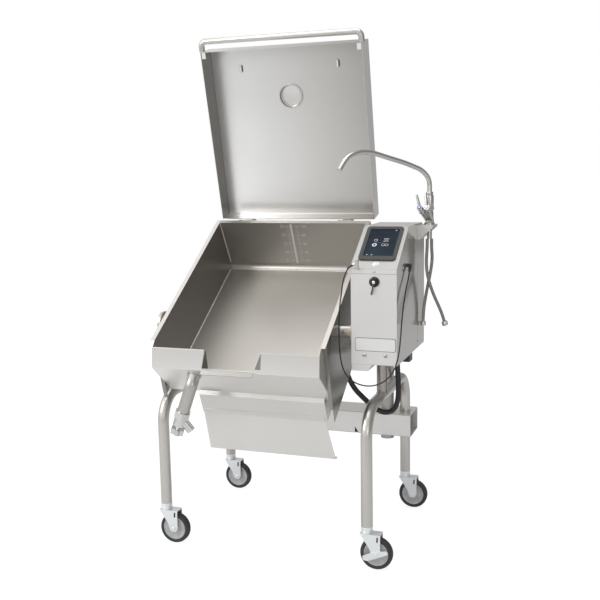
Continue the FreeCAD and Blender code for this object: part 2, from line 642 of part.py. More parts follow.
valve = doc.addObject("Part::Feature", "drain_valve")
valve_base = DRAIN_END
collar = hexagon(56, 26, valve_base, down)
body_ball = Part.makeCylinder(25, 34, valve_base + down * 26, down)
outlet_dir = Vector(0.55, -0.25, -0.79)
outlet_dir.normalize()
outlet = Part.makeCylinder(17, 62, valve_base + down * 30, outlet_dir)
outlet_bore = Part.makeCylinder(13, 63, valve_base + down * 30, outlet_dir)
stem = Part.makeCylinder(7, 48, valve_base + down * 50, down)
valve.Shape = collar.fuse([body_ball, outlet, stem]).removeSplitter().cut(outlet_bore)
publish("drain_valve", valve, PAN)

knob_base = valve_base + down * 74
knob = new_body("knob")
lobes = 6
star = []
for index in range(lobes * 2):
    reach = 30 if index % 2 == 0 else 21
    angle = math.radians(180 / lobes * index)
    star.append((reach * math.cos(angle), reach * math.sin(angle), 5))
pad(knob, "XY_Plane", [star, (0, 0, 7 + size.running_clearance)], 22, 11)
publish("drain_knob", knob, PAN.multiply(Placement(knob_base, turned(down))))

# Conduit elbow on the right end of the heater housing
elbow_u = 42
elbow_n = -238
elbow = doc.addObject("Part::Feature", "conduit_elbow")
elbow_end = Vector(HOUSE_R + 19, elbow_u, elbow_n - 24)
elbow_solid = swept([(HOUSE_R, elbow_u, elbow_n), (HOUSE_R + 19, elbow_u, elbow_n), tuple(elbow_end)],
                    12.5, [13])[0]
elbow.Shape = elbow_solid
publish("conduit_elbow", elbow, PAN)

# Lid: deep tray of folded sheet, modelled closed with the hinge axis at the origin
LID = Placement(PAN.multVec(Vector(0, HINGE_U, HINGE_N)), Rotation(X, size.tilt_rest - size.lid_open))
LID_N = size.rim_n - HINGE_N + size.lid_seat_gap
LID_REAR_V = 10
lid_mid = (INNER_L + INNER_R) / 2 - 1.7
lid_l = lid_mid - size.lid_width / 2
lid_r = lid_mid + size.lid_width / 2
lid_sheet = size.lid_wall
front_top = LID_N + size.lid_front_depth
rear_top = LID_N + size.lid_rear_depth
lid = new_body("lid")
pad(lid, "YZ_Plane", [[
    (-size.lid_length, LID_N), (-size.lid_length, front_top, 5), (-LID_REAR_V, rear_top, 5),
    (-LID_REAR_V, LID_N),
]], "Sizes.lid_width", lid_mid)
pocket(lid, "YZ_Plane", [[
    (-size.lid_length + lid_sheet, LID_N - 1), (-size.lid_length + lid_sheet, front_top - lid_sheet, 3),
    (-LID_REAR_V - lid_sheet, rear_top - lid_sheet, 3), (-LID_REAR_V - lid_sheet, LID_N - 1),
]], "Sizes.lid_width - 2 * Sizes.lid_wall", lid_mid)
pocket(lid, "XY_Plane", [(lid_mid, -size.vent_v, size.vent_radius - 8)], 40, front_top - 12)
publish("lid_shell", lid, LID)

# Vent disc: flanged round plate that closes the hole in the lid's plate, inside
slope = math.atan2(size.lid_front_depth - size.lid_rear_depth, size.lid_length - LID_REAR_V)
plate_n = rear_top + (size.vent_v - LID_REAR_V) * math.tan(slope)
plate_up = Vector(0, math.sin(slope), math.cos(slope))
disc = doc.addObject("Part::Feature", "vent_disc")
disc_at = Vector(lid_mid, -size.vent_v, plate_n) - plate_up * (lid_sheet + size.seat_gap + 5)
disc_plate = Part.makeCylinder(size.vent_radius, 5, disc_at, plate_up)
disc_boss = Part.makeCylinder(size.vent_radius - 14, 9, disc_at, plate_up)
disc.Shape = disc_plate.fuse(disc_boss).removeSplitter()
publish("vent_disc", disc, LID)

# Lid handle: bar across the free edge with both ends bent back to the lid
HANDLE_R = size.handle_dia / 2
bar_v = -size.lid_length - size.handle_reach
bar_n = LID_N + HANDLE_R + 1
handle_l = lid_l + 4
handle_r = lid_r - 4
handle_points = [
    (handle_l, -size.lid_length, bar_n), (handle_l, bar_v, bar_n),
    (handle_r, bar_v, bar_n), (handle_r, -size.lid_length, bar_n),
]
publish("lid_handle", tube("lid_handle", handle_points, size.handle_dia, 2, [22, 22]), LID)

# Lid knuckles: arms on the lid's rear wall that turn on the hinge pins
knuckles = []
for index, spot in enumerate(hinge_spots):
    arm_body = new_body("knuckle_%d" % index)
    pad(arm_body, "YZ_Plane", [
        [(-LID_REAR_V, LID_N + 4), (-LID_REAR_V, LID_N + 60, 2), (2, LID_N + 60, 6), (15, 12, 8),
        (15, -14, 13),
         (-13, -14, 13), (-13, 14, 6), (2, LID_N - 6)],
        (0, 0, PIN_R + size.running_clearance),
    ], KNUCKLE, spot)
    knuckles.append(arm_body)
publish("lid_knuckles", group("lid_knuckles", *knuckles), LID)

# Console: folded sheet housing with a sloping panel, open at the rear for its cover
sheet_in = size.console_sheet
console_mid = size.console_left_x + size.console_width / 2
CONSOLE_R = size.console_left_x + size.console_width
front = size.console_front_y
rear = size.console_rear_y
chamfer = size.console_rear_chamfer
console = new_body("console")
pad(console, "YZ_Plane", [[
    (front, size.console_floor_z, 3), (front, size.console_face_top_z, 3),
    (size.console_slope_y, size.console_top_z, 3),
    (rear - chamfer, size.console_top_z, 3), (rear, size.console_top_z - chamfer, 3),
    (rear, size.console_floor_z, 3),
]], "Sizes.console_width", console_mid)
slope_len = math.hypot(size.console_slope_y - front, size.console_top_z - size.console_face_top_z)
slope_dir = Vector(0, size.console_slope_y - front, size.console_top_z - size.console_face_top_z)
slope_dir.normalize()
slope_out = Vector(0, -slope_dir.z, slope_dir.y)
inset = sheet_in * math.tan(math.radians(22))
pocket(console, "YZ_Plane", [[
    (front + sheet_in, size.console_floor_z + sheet_in), (front + sheet_in, size.console_face_top_z - 0.7),
    (size.console_slope_y + 0.7, size.console_top_z - sheet_in),
    (rear - chamfer - inset, size.console_top_z - sheet_in),
    (rear - 8, size.console_top_z - chamfer - sheet_in), (rear + 5, size.console_top_z - chamfer - sheet_in),
    (rear + 5, size.console_floor_z + sheet_in),
]], "Sizes.console_width - 2 * Sizes.console_sheet", console_mid)
pocket(console, "YZ_Plane", [(size.trunnion_y, size.trunnion_z, BUSH_R)], 40, size.console_left_x)
BUTTON_X = 458
BUTTON_ALONG = 24
BUTTON_R = 9

cover_z = size.console_floor_z + sheet_in
rear_cover = box(
    "rear_cover", (size.console_left_x + sheet_in, rear - sheet_in, cover_z),
    "Sizes.console_width - 2 * Sizes.console_sheet", "Sizes.console_sheet",
    "Sizes.console_top_z - Sizes.console_rear_chamfer - Sizes.console_floor_z - 2 * Sizes.console_sheet")


def on_slope(across, along, lift=0.0):
    """Point on the sloping panel: across is world x, along is the way up from its lower edge."""
    corner = Vector(0, front, size.console_face_top_z)
    return Vector(across, 0, 0) + corner + slope_dir * along + slope_out * lift


SLOPE = Placement(on_slope(0, 0), Rotation(X, slope_dir, slope_out, "XYZ"))
button_hole = cylinder("button_hole", tuple(on_slope(BUTTON_X, BUTTON_ALONG, -10)), slope_out,
                       BUTTON_R + size.seat_gap, 20)
publish("console_housing", cut("console_housing", console, button_hole))
bezel = new_body("bezel")
BEZEL_L = 385
BEZEL_R = 527
pad(bezel, "XY_Plane", [
    [(BEZEL_L, 44, 14), (BEZEL_R, 44, 14), (BEZEL_R, 237, 14), (BEZEL_L, 237, 14)],
    [(400, 66, 4), (514, 66, 4), (514, 222, 4), (400, 222, 4)],
], 5, 2.5)
publish("screen_bezel", bezel, SLOPE)
screen = new_body("screen")
pad(screen, "XY_Plane", [[(400, 66, 4), (514, 66, 4), (514, 222, 4), (400, 222, 4)]], 3, 1.5)
publish("touch_screen", screen, SLOPE)

# Start button on the lower margin of the sloping panel, with its collar hole in the sheet
button = new_body("button")
pad(button, "XY_Plane", [(BUTTON_X, BUTTON_ALONG, BUTTON_R)], 9, -0.5)
publish("start_button", button, SLOPE)

# Key lock, screw and bare plate on the front face
LOCK = Placement(Vector(458, front, 1102), turned(-Y))
lock = new_body("lock")
pad(lock, "XY_Plane", [(0, 0, 19)], 5, 2.5)
pad(lock, "XY_Plane", [(0, 0, 12)], 10, 5)
publish("lock_barrel", lock, LOCK)
key = new_body("key")
pad(key, "XZ_Plane", [[
    (458 - 10, 1102 - 48, 8), (458 + 10, 1102 - 48, 8), (458 + 9, 1102 - 22, 5), (458 + 5, 1102 + 5, 2),
    (458 - 5, 1102 + 5, 2), (458 - 9, 1102 - 22, 5),
]], 2.5, -(front - 10 - size.seat_gap - 1.25))
publish("lock_key", key)
plate = new_body("plate")
pad(plate, "XZ_Plane", [[(383, 843, 6), (538, 843, 6), (538, 893, 6), (383, 893, 6)]], 1.5, -(front - 0.75))
publish("name_plate", plate)
screws = []
for index, (screw_x, screw_z, head_r) in enumerate(((419, 827, 6), (499, 827, 6), (458, 1139, 4))):
    screws.append(cylinder("front_screw_%d" % index, (screw_x, front, screw_z), -Y, head_r, 3))
for index, (screw_y, screw_z) in enumerate(((-213, 1144), (39, 818))):
    screws.append(cylinder("side_screw_%d" % index, (CONSOLE_R, screw_y, screw_z), X, 4, 3))
publish("console_screws", group("console_screws", *screws))

# Inside the console: tilt gearmotor round the trunnion shaft, and the control board on the left wall
GEAR_CASE = (60, 120, 150)
GEAR_FLOOR_Z = size.trunnion_z - 77
MOTOR_R = 38
MOTOR_LENGTH = 150
BOARD = (22, 260, 90)
BOARD_Z = size.console_floor_z + 229
gear_bore = cylinder("gear_bore", (wall_x + 27, size.trunnion_y, size.trunnion_z), X,
                     "Sizes.trunnion_dia / 2 + Sizes.running_clearance", 90)
gear_case = box("gear_case", (wall_x + 28, front + 6, GEAR_FLOOR_Z), *GEAR_CASE)
motor_can = cylinder("motor_can", (wall_x + 28 + GEAR_CASE[0] / 2, front + 6 + GEAR_CASE[1],
                                   GEAR_FLOOR_Z + GEAR_CASE[2] / 2),
                     Y, MOTOR_R, MOTOR_LENGTH)
publish("tilt_gearmotor", cut("tilt_gearmotor", fuse("gear_and_motor", gear_case, motor_can), gear_bore))
publish("control_board", box("control_board", (size.console_left_x + sheet_in, front + 40, BOARD_Z), *BOARD))

# Under the console: small box at the front, and the cord and conduit glands
underside = new_body("underside")
pad(underside, "XZ_Plane", [[(368, 791), (445, 791), (430, 765, 3), (368, 765, 3)]], 110, -(front + 60))
publish("console_covers", group("console_covers", rear_cover, underside))
conduit_top = Vector(484, -70, size.console_floor_z)
inlet_at = Vector(514, -60, size.console_floor_z)
gland = fuse(
    "conduit_gland", cylinder("gland_hex", tuple(conduit_top), -Z, 15.5, 9),
    cylinder("gland_nut", tuple(conduit_top - Z * 9), -Z, 13.5, 9))
inlet_blank = box("inlet_blank", (503, -85, size.console_floor_z - 34), 34, 52, 34)
inlet_bore = cylinder("inlet_bore", (520, -59, size.console_floor_z - 35), Z, 10, 21)
publish("underside_glands", group("underside_glands", gland, cut("power_inlet", inlet_blank, inlet_bore)))

# Heater conduit: hangs in a loop from the console gland to the elbow under the pan
elbow_world = PAN.multVec(elbow_end)
elbow_down = PAN.Rotation.multVec(-Z)
conduit_exit = elbow_world + elbow_down * 34
conduit_points = [
    tuple(elbow_world), tuple(conduit_exit), (312, -85, 634), (352, -88, 598), (396, -86, 559),
    (440, -78, 540), (476, -72, 560), (488, -70, 602), (489, -69, 655), (486, -70, 710),
    (484, -70, 752), (484, -70, size.console_floor_z - 18),
]
publish("heater_conduit", cord("heater_conduit", conduit_points, size.conduit_dia))

# Faucet shelf: plate on the console's right side with two gussets
shelf = new_body("shelf")
shelf_y0 = 44
shelf_y1 = 140
pad(shelf, "XZ_Plane", [[
    (CONSOLE_R, size.shelf_z - 57), (CONSOLE_R + 4, size.shelf_z - 57, 1), (CONSOLE_R + 4, size.shelf_z - 4),
    (603, size.shelf_z - 4), (603, size.shelf_z, 1), (CONSOLE_R, size.shelf_z),
]], shelf_y1 - shelf_y0, -(shelf_y0 + shelf_y1) / 2)
for gusset_y in (shelf_y0 + 2, shelf_y1 - 2):
    pad(shelf, "XZ_Plane", [[
        (CONSOLE_R + 3, size.shelf_z - 57), (CONSOLE_R + 6, size.shelf_z - 57), (601, size.shelf_z - 10),
        (601, size.shelf_z - 3), (CONSOLE_R + 3, size.shelf_z - 3),
    ]], 4, -gusset_y)
pocket(shelf, "XY_Plane", [(size.riser_x, size.riser_y, 10)], 30, size.shelf_z)
publish("faucet_bracket", shelf)

# Faucet body: flange, riser and two valve barrels that lean forward and up
RISER = Vector(size.riser_x, size.riser_y, 0)
RISER_R = size.riser_dia / 2
BARREL_R = 11
faucet = doc.addObject("Part::Feature", "faucet_body")
riser_parts = [
    Part.makeCylinder(21, 7, RISER + Z * size.shelf_z),
    Part.makeCylinder(RISER_R, size.spout_base_z - size.shelf_z - 7, RISER + Z * (size.shelf_z + 7)),
    Part.makeCylinder(9.9, 57, RISER + Z * (size.shelf_z - 57)),
]
barrel_ends = {}
for name, start, end in (("cold", Vector(572, 84, 1308), Vector(560, 7, 1351)),
                         ("hot", Vector(586, 90, 1306), Vector(584, 18, 1351))):
    axis = end - start
    barrel_len = axis.Length
    axis.normalize()
    riser_parts.append(Part.makeCylinder(BARREL_R, barrel_len, start, axis))
    riser_parts.append(Part.makeSphere(BARREL_R, start))
    barrel_ends[name] = (end, axis)
faucet.Shape = Part.makeCylinder(16, 34, RISER + Z * 1300).fuse(riser_parts).removeSplitter()
publish("faucet_body", faucet)

# Tap levers: hub cap on each barrel with a flat blade that points up
for name, tilt_x in (("cold", -0.28), ("hot", -0.1)):
    end, axis = barrel_ends[name]
    lever = doc.addObject("Part::Feature", "tap_lever_" + name)
    hub_cap = Part.makeCylinder(BARREL_R + 0.3, 14, end + axis * size.seat_gap, axis)
    blade_dir = Vector(tilt_x, 0.15, 1)
    blade_dir.normalize()
    root = end + axis * 7.3
    blade = Part.makeCone(6.5, 4.2, 52, root, blade_dir)
    tip = Part.makeSphere(4.2, root + blade_dir * 52)
    lever.Shape = hub_cap.fuse([blade, tip]).removeSplitter()
    publish("tap_lever_" + name, lever)

# Spout: bent tube that swivels on the riser; its tip hangs beside the pan
tip_dir = Vector(335 - size.riser_x, -338 - size.riser_y, 0)
tip_dir.normalize()
spout_profile = [(0, size.spout_base_z + size.seat_gap), (0, 1466), (47, 1502), (142, 1530), (235, 1550),
                 (328, 1571),
                 (392, 1574), (455, 1556), (494, 1509)]
spout_points = []
for along, height in spout_profile:
    place = RISER + tip_dir * along
    spout_points.append((place.x, place.y, height))
spout = doc.addObject("Part::Feature", "spout")
spout_solid = swept(spout_points, size.spout_dia / 2)[0]
spout_collar = Part.makeCylinder(RISER_R, 12, RISER + Z * (size.spout_base_z + size.seat_gap))
spout.Shape = spout_solid.fuse(spout_collar).removeSplitter()
publish("spout", spout)

# Supply hoses: hang from the faucet shank, cross and end in their fittings
cold_points = [
    (571, 88, 1228), (571, 88, 1192), (569, 82, 1152), (570, 80, 1110), (576, 82, 1070), (588, 84, 1030),
    (602, 88, 992), (618, 93, 955), (631, 98, 922), (639, 101, 893),
]
hot_points = [
    (587, 96, 1228), (587, 96, 1192), (589, 104, 1152), (584, 108, 1110), (577, 108, 1070), (569, 105, 1030),
    (563, 100, 992), (558, 94, 955), (556, 88, 922), (556, 84, 893),
]
publish("hose_cold", cord("hose_cold", cold_points, size.hose_dia))
publish("hose_hot", cord("hose_hot", hot_points, size.hose_dia))
nuts = []
for name, points in (("cold", cold_points), ("hot", hot_points)):
    end = Vector(*points[-1])
    axis = end - Vector(*points[-2])
    axis.normalize()
    nuts.append((name, end, axis))
fittings = doc.addObject("Part::Feature", "hose_fittings")
fittings.Shape = Part.makeCompound([
    hexagon(22, 18, end, axis).cut(Part.makeCylinder(6, 14, end + axis * 5, axis)) for name, end,
        axis in nuts])
publish("hose_fittings", fittings)

# Probe holder, cord and plug: the cord runs down beside the pan, under the front and up the right side
PROBE_Y = -336
sleeve_root = Vector(392, front - 8, 1171)
sleeve_dir = Vector(-0.87, -0.04, -0.49)
sleeve_dir.normalize()
sleeve_end = sleeve_root + sleeve_dir * 14
holder = doc.addObject("Part::Feature", "probe_holder")
clip = Part.makeBox(12, 14, 36, Vector(388, front - 14, 1146))
holder.Shape = clip.fuse(Part.makeCylinder(5, 14, sleeve_root, sleeve_dir)).removeSplitter()
publish("probe_holder", holder)

plug_root = Vector(CONSOLE_R, -146, 1146)
plug_bend = plug_root + X * 11
plug_dir = Vector(0, -0.55, -0.83)
plug_dir.normalize()
plug_end = plug_bend + plug_dir * 26
plug = doc.addObject("Part::Feature", "probe_plug")
plug_parts = [Part.makeSphere(7, plug_bend), Part.makeCone(7, 4.5, 26, plug_bend, plug_dir)]
plug.Shape = Part.makeCylinder(7, 11, plug_root, X).fuse(plug_parts).removeSplitter()
publish("probe_plug", plug)

probe_points = [
    tuple(sleeve_end), tuple(sleeve_end + sleeve_dir * 20), (350, -333, 1129), (341, PROBE_Y, 1096),
    (337, PROBE_Y, 1060), (330, PROBE_Y, 1016), (326, PROBE_Y, 960), (325, PROBE_Y, 902), (327, PROBE_Y, 846),
    (333, PROBE_Y, 794), (350, PROBE_Y, 750), (385, PROBE_Y, 722), (432, PROBE_Y, 712), (478, PROBE_Y, 722),
    (514, PROBE_Y - 1, 748), (538, PROBE_Y - 1, 785), (551, -335, 832), (556, -328, 885), (556, -310, 938),
    (555, -286, 988), (555, -254, 1034), (554, -218, 1074), tuple(plug_end + plug_dir * 34), tuple(plug_end),
]
publish("probe_cord", cord("probe_cord", probe_points, size.probe_dia))

doc.recompute()

for obj in doc.Objects:
    if "Invalid" in obj.State or "Error" in obj.State:
        raise RuntimeError("%s failed: %s" % (obj.Label, obj.State))

for label, obj in sorted(nodes.items()):
    if obj.Shape.isNull() or not obj.Shape.isValid():
        raise RuntimeError("bad shape in " + label)
    obj.Shape.exportStep("parts/" + label + ".step")
    bounds = obj.Shape.BoundBox
    print("%-20s solids %2d volume %10.0f x %.0f..%.0f y %.0f..%.0f z %.0f..%.0f" % (
        label, len(obj.Shape.Solids), obj.Shape.Volume, bounds.XMin, bounds.XMax, bounds.YMin, bounds.YMax,
        bounds.ZMin, bounds.ZMax))
print(len(nodes), "nodes")
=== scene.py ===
import math
import bpy
import numpy as np
from mathutils import Matrix, Vector


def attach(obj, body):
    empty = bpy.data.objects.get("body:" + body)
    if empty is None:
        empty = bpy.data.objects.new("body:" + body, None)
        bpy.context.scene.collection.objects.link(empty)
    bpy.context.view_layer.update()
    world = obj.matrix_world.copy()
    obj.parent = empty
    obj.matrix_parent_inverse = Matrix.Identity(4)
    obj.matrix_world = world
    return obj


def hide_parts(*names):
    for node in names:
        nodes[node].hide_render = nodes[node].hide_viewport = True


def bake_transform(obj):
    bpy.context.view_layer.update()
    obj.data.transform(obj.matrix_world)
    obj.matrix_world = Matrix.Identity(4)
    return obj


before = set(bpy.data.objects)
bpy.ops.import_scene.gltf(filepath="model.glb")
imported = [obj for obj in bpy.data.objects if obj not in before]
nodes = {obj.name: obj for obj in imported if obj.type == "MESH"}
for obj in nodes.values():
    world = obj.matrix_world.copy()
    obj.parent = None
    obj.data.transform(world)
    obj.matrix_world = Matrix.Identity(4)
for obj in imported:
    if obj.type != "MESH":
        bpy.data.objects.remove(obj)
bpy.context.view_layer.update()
MM = 0.001

# Camera: a short telephoto set at chest height to the right of the pan, turned a little left and down,
# as the picture of the object was taken.
EYE = Vector((1.27897, -3.46541, 1.52225))
YAW = math.radians(19.4428)
PITCH = math.radians(8.4616)
ROLL = math.radians(-1.0303)
forward = Vector((-math.sin(YAW) * math.cos(PITCH), math.cos(YAW) * math.cos(PITCH), -math.sin(PITCH)))
level_right = Vector((math.cos(YAW), math.sin(YAW), 0))
level_up = level_right.cross(forward)
right = math.cos(ROLL) * level_right + math.sin(ROLL) * level_up
up = -math.sin(ROLL) * level_right + math.cos(ROLL) * level_up
camera_data = bpy.data.cameras.new("camera")
camera_data.sensor_fit = "HORIZONTAL"
camera_data.sensor_width = 36
camera_data.lens = 53.66
camera_data.clip_end = 60
camera = bpy.data.objects.new("camera", camera_data)
camera.matrix_world = Matrix.Translation(EYE) @ Matrix((right, up, -forward)).transposed().to_4x4()
bpy.context.scene.collection.objects.link(camera)
bpy.context.scene.camera = camera
bpy.context.scene.view_settings.view_transform = "Standard"


# Cords: the black heater conduit, two braided supply hoses and the thin probe lead. Each follows a
# smooth curve through its route, as a flexible line of fixed length does under its own weight.
def curve_line(route):
    """Centreline of a cord: quadratic NURBS with the route's points, in metres, as control points."""
    curve = bpy.data.curves.new("route", "CURVE")
    curve.dimensions = "3D"
    curve.resolution_u = 10
    spline = curve.splines.new("NURBS")
    spline.points.add(len(route) - 1)
    for point, place in zip(spline.points, route):
        point.co = (*place, 1.0)
    spline.order_u = 3
    spline.use_endpoint_u = True
    holder = bpy.data.objects.new("route", curve)
    bpy.context.scene.collection.objects.link(holder)
    bpy.context.view_layer.update()
    evaluated = holder.evaluated_get(bpy.context.evaluated_depsgraph_get())
    mesh = bpy.data.meshes.new_from_object(evaluated)
    line = np.zeros(len(mesh.vertices) * 3)
    mesh.vertices.foreach_get("co", line)
    bpy.data.objects.remove(holder)
    bpy.data.meshes.remove(mesh)
    return line.reshape(-1, 3)


def surface(name, grid, wrap=True, caps=False, material=None):
    """Mesh of a (rows, columns, 3) grid: quads between neighbours, columns closed into a ring where wrap is set, rows
    too where the last row lies on the first, and each end row closed by a face where caps is set. Edges over 38
    degrees are sharp. The UV map runs along the rows and round the columns."""
    rows, columns = grid.shape[:2]
    kept = rows - 1 if rows > 3 and not caps and np.allclose(grid[0], grid[-1]) else rows
    row, column = np.mgrid[0:rows - 1, 0:columns - (not wrap)]
    corners = ((row, column), (row, column + 1), (row + 1, column + 1), (row + 1, column))
    loops = np.stack([(r % kept) * columns + c % columns for r, c in corners], axis=-1).reshape(-1)
    uv = np.stack([np.stack([c / columns, r / (rows - 1)], axis=-1) for r, c in corners], axis=2).reshape(-1, 2)
    starts = np.arange(row.size) * 4
    if caps:
        rim = np.arange(columns)
        loops = np.concatenate([loops, rim[::-1], rim + (rows - 1) * columns])
        starts = np.concatenate([starts, [row.size * 4, row.size * 4 + columns]])
        uv = np.vstack([uv, np.stack([rim[::-1] / columns, rim * 0], axis=-1),
                        np.stack([rim / columns, rim * 0 + 1], axis=-1)])
    mesh = bpy.data.meshes.new(name)
    mesh.vertices.add(kept * columns)
    mesh.vertices.foreach_set("co", grid[:kept].reshape(-1).astype(np.float32))
    mesh.loops.add(len(loops))
    mesh.loops.foreach_set("vertex_index", loops.astype(np.int32))
    mesh.polygons.add(len(starts))
    mesh.polygons.foreach_set("loop_start", starts.astype(np.int32))
    mesh.polygons.foreach_set("use_smooth", np.ones(len(starts), bool))
    mesh.update(calc_edges=True)
    mesh.uv_layers.new(name="UVMap").data.foreach_set("uv", uv.reshape(-1).astype(np.float32))
    mesh.validate()
    mesh.set_sharp_from_angle(angle=math.radians(38))
    piece = bpy.data.objects.new(name, mesh)
    bpy.context.scene.collection.objects.link(piece)
    if material:
        mesh.materials.append(material)
    return piece


def ring_frames(line):
    """Two unit vectors across a line at each of its points, carried along it without twist."""
    line = np.asarray(line, float)
    tangent = np.gradient(line, axis=0)
    tangent /= np.linalg.norm(tangent, axis=1)[:, None]
    first = np.cross(tangent[0], (0.0, 0.0, 1.0) if abs(tangent[0][2]) < 0.9 else (1.0, 0.0, 0.0))
    side = np.zeros_like(line)
    carried = first
    for number, direction in enumerate(tangent):
        carried = carried - direction * (carried @ direction)
        carried /= np.linalg.norm(carried)
        side[number] = carried
    return side, np.cross(tangent, side)


def tube(name, line, radius, sides=32, caps=True, material=None):
    """Round tube: point = line + radius * (cos(turn) * side + sin(turn) * other side)."""
    side, other = ring_frames(line)
    turn = np.linspace(0, 2 * np.pi, sides, endpoint=False)
    radius = np.broadcast_to(np.asarray(radius, float), (len(line),))
    ring = np.cos(turn)[None, :, None] * side[:, None] + np.sin(turn)[None, :, None] * other[:, None]
    return surface(name, np.asarray(line)[:, None] + radius[:, None, None] * ring, True, caps, material)


def node_tree(name):
    """New material with its Principled shader and a function that adds nodes to it."""
    material = bpy.data.materials.new(name)
    material.use_nodes = True
    tree = material.node_tree
    return material, tree, tree.nodes["Principled BSDF"]


def grain(tree, scale, detail=4.0, source="Object"):
    """Noise on object coordinates (or on the UV map), stretched by a scale along each axis."""
    place = tree.nodes.new("ShaderNodeTexCoord")
    mapping = tree.nodes.new("ShaderNodeMapping")
    mapping.inputs["Scale"].default_value = scale
    noise = tree.nodes.new("ShaderNodeTexNoise")
    noise.inputs["Scale"].default_value = 1.0
    noise.inputs["Detail"].default_value = detail
    tree.links.new(place.outputs[source], mapping.inputs["Vector"])
    tree.links.new(mapping.outputs["Vector"], noise.inputs["Vector"])
    return noise


def spread(tree, noise, low, high, socket):
    """Noise value carried onto a range and plugged into a socket."""
    ranged = tree.nodes.new("ShaderNodeMapRange")
    ranged.inputs["From Min"].default_value = 0.3
    ranged.inputs["From Max"].default_value = 0.7
    ranged.inputs["To Min"].default_value = low
    ranged.inputs["To Max"].default_value = high
    tree.links.new(noise.outputs["Fac"], ranged.inputs["Value"])
    tree.links.new(ranged.outputs["Result"], socket)


def tint(tree, noise, dark, light, socket):
    """Noise value carried onto two colours and plugged into a socket."""
    ramp = tree.nodes.new("ShaderNodeValToRGB")
    ramp.color_ramp.elements[0].position = 0.3
    ramp.color_ramp.elements[1].position = 0.7
    ramp.color_ramp.elements[0].color = (*dark, 1)
    ramp.color_ramp.elements[1].color = (*light, 1)
    tree.links.new(noise.outputs["Fac"], ramp.inputs["Fac"])
    tree.links.new(ramp.outputs["Color"], socket)


def relief(tree, noise, strength, distance, shader):
    """Bump from a noise value."""
    bump = tree.nodes.new("ShaderNodeBump")
    bump.inputs["Strength"].default_value = strength
    bump.inputs["Distance"].default_value = distance
    tree.links.new(noise.outputs["Fac"], bump.inputs["Height"])
    tree.links.new(bump.outputs["Normal"], shader.inputs["Normal"])


def soft_plastic(name, colour, roughness, texture=900.0, bump=0.15):
    """Moulded plastic or rubber: fine pebble bump, slightly uneven colour and gloss."""
    material, tree, shader = node_tree(name)
    pebble = grain(tree, (texture, texture, texture), 2.0)
    cloud = grain(tree, (35, 35, 35), 3.0)
    darker = [c * 0.82 for c in colour]
    lighter = [min(1.0, c * 1.15) for c in colour]
    tint(tree, cloud, darker, lighter, shader.inputs["Base Color"])
    spread(tree, cloud, roughness - 0.06, roughness + 0.08, shader.inputs["Roughness"])
    relief(tree, pebble, bump, 0.0004, shader)
    return material


def braid(name):
    """Stainless braid: two crossed sets of diagonal ribs on the hose's UV map."""
    material, tree, shader = node_tree(name)
    place = tree.nodes.new("ShaderNodeTexCoord")
    heights = []
    for turn in (0.72, -0.72):
        mapping = tree.nodes.new("ShaderNodeMapping")
        mapping.inputs["Rotation"].default_value = (0, 0, turn)
        mapping.inputs["Scale"].default_value = (12, 110, 1)
        wave = tree.nodes.new("ShaderNodeTexWave")
        wave.inputs["Scale"].default_value = 1.0
        tree.links.new(place.outputs["UV"], mapping.inputs["Vector"])
        tree.links.new(mapping.outputs["Vector"], wave.inputs["Vector"])
        heights.append(wave)
    crossed = tree.nodes.new("ShaderNodeMath")
    crossed.operation = "MAXIMUM"
    tree.links.new(heights[0].outputs["Fac"], crossed.inputs[0])
    tree.links.new(heights[1].outputs["Fac"], crossed.inputs[1])
    bump = tree.nodes.new("ShaderNodeBump")
    bump.inputs["Strength"].default_value = 0.7
    bump.inputs["Distance"].default_value = 0.0008
    tree.links.new(crossed.outputs["Value"], bump.inputs["Height"])
    tree.links.new(bump.outputs["Normal"], shader.inputs["Normal"])
    # Painted shade: the base colour is dark in the grooves between the ribs and light on their crests.
    ramp = tree.nodes.new("ShaderNodeValToRGB")
    ramp.color_ramp.elements[0].color = (0.10, 0.095, 0.09, 1)
    ramp.color_ramp.elements[1].color = (0.42, 0.41, 0.39, 1)
    tree.links.new(crossed.outputs["Value"], ramp.inputs["Fac"])
    tree.links.new(ramp.outputs["Color"], shader.inputs["Base Color"])
    shader.inputs["Metallic"].default_value = 0.7
    shader.inputs["Roughness"].default_value = 0.42
    return material


def six_sided(name, base, axis, half_across, length, material):
    """Swivel nut: six flats whose rounded ends draw in, with a bore in its free end. Each ring is a hexagon of
    radius half_across / cos(angle from the middle of its flat), cut down to the ring's own radius."""
    side = np.cross(axis, (1.0, 0.0, 0.0))
    side /= np.linalg.norm(side)
    other = np.cross(axis, side)
    turn = np.linspace(0, 2 * np.pi, 72, endpoint=False)
    flat = np.mod(turn, np.pi / 3) - np.pi / 6
    hexagon = half_across / np.cos(flat)
    stations = [(0.0, 0.0001), (0.0, 0.93), (0.0018, 1.2), (length - 0.0018, 1.2), (length, 0.95), (length, 0.6),
                (length - 0.006, 0.58), (length - 0.006, 0.0001)]
    rings = []
    for height, limit in stations:
        radius = np.minimum(hexagon, half_across * limit)[:, None]
        rings.append(base + axis * height + radius * (np.cos(turn)[:, None] * side + np.sin(turn)[:, None] * other))
    return surface(name, np.array(rings), True, True, material)


TILT = math.radians(32.88)
TRUNNION = np.array((0.0, -0.2844, 0.907))


def pan_point(x, u, n):
    """Point of the tilted pan, in metres, from its level frame in millimetres: u rearwards, n up."""
    x, u, n = np.broadcast_arrays(np.asarray(x, float), u, n)
    y = TRUNNION[1] + MM * (u * math.cos(TILT) - n * math.sin(TILT))
    z = TRUNNION[2] + MM * (u * math.sin(TILT) + n * math.cos(TILT))
    return np.stack([x * MM, y, z], axis=-1)


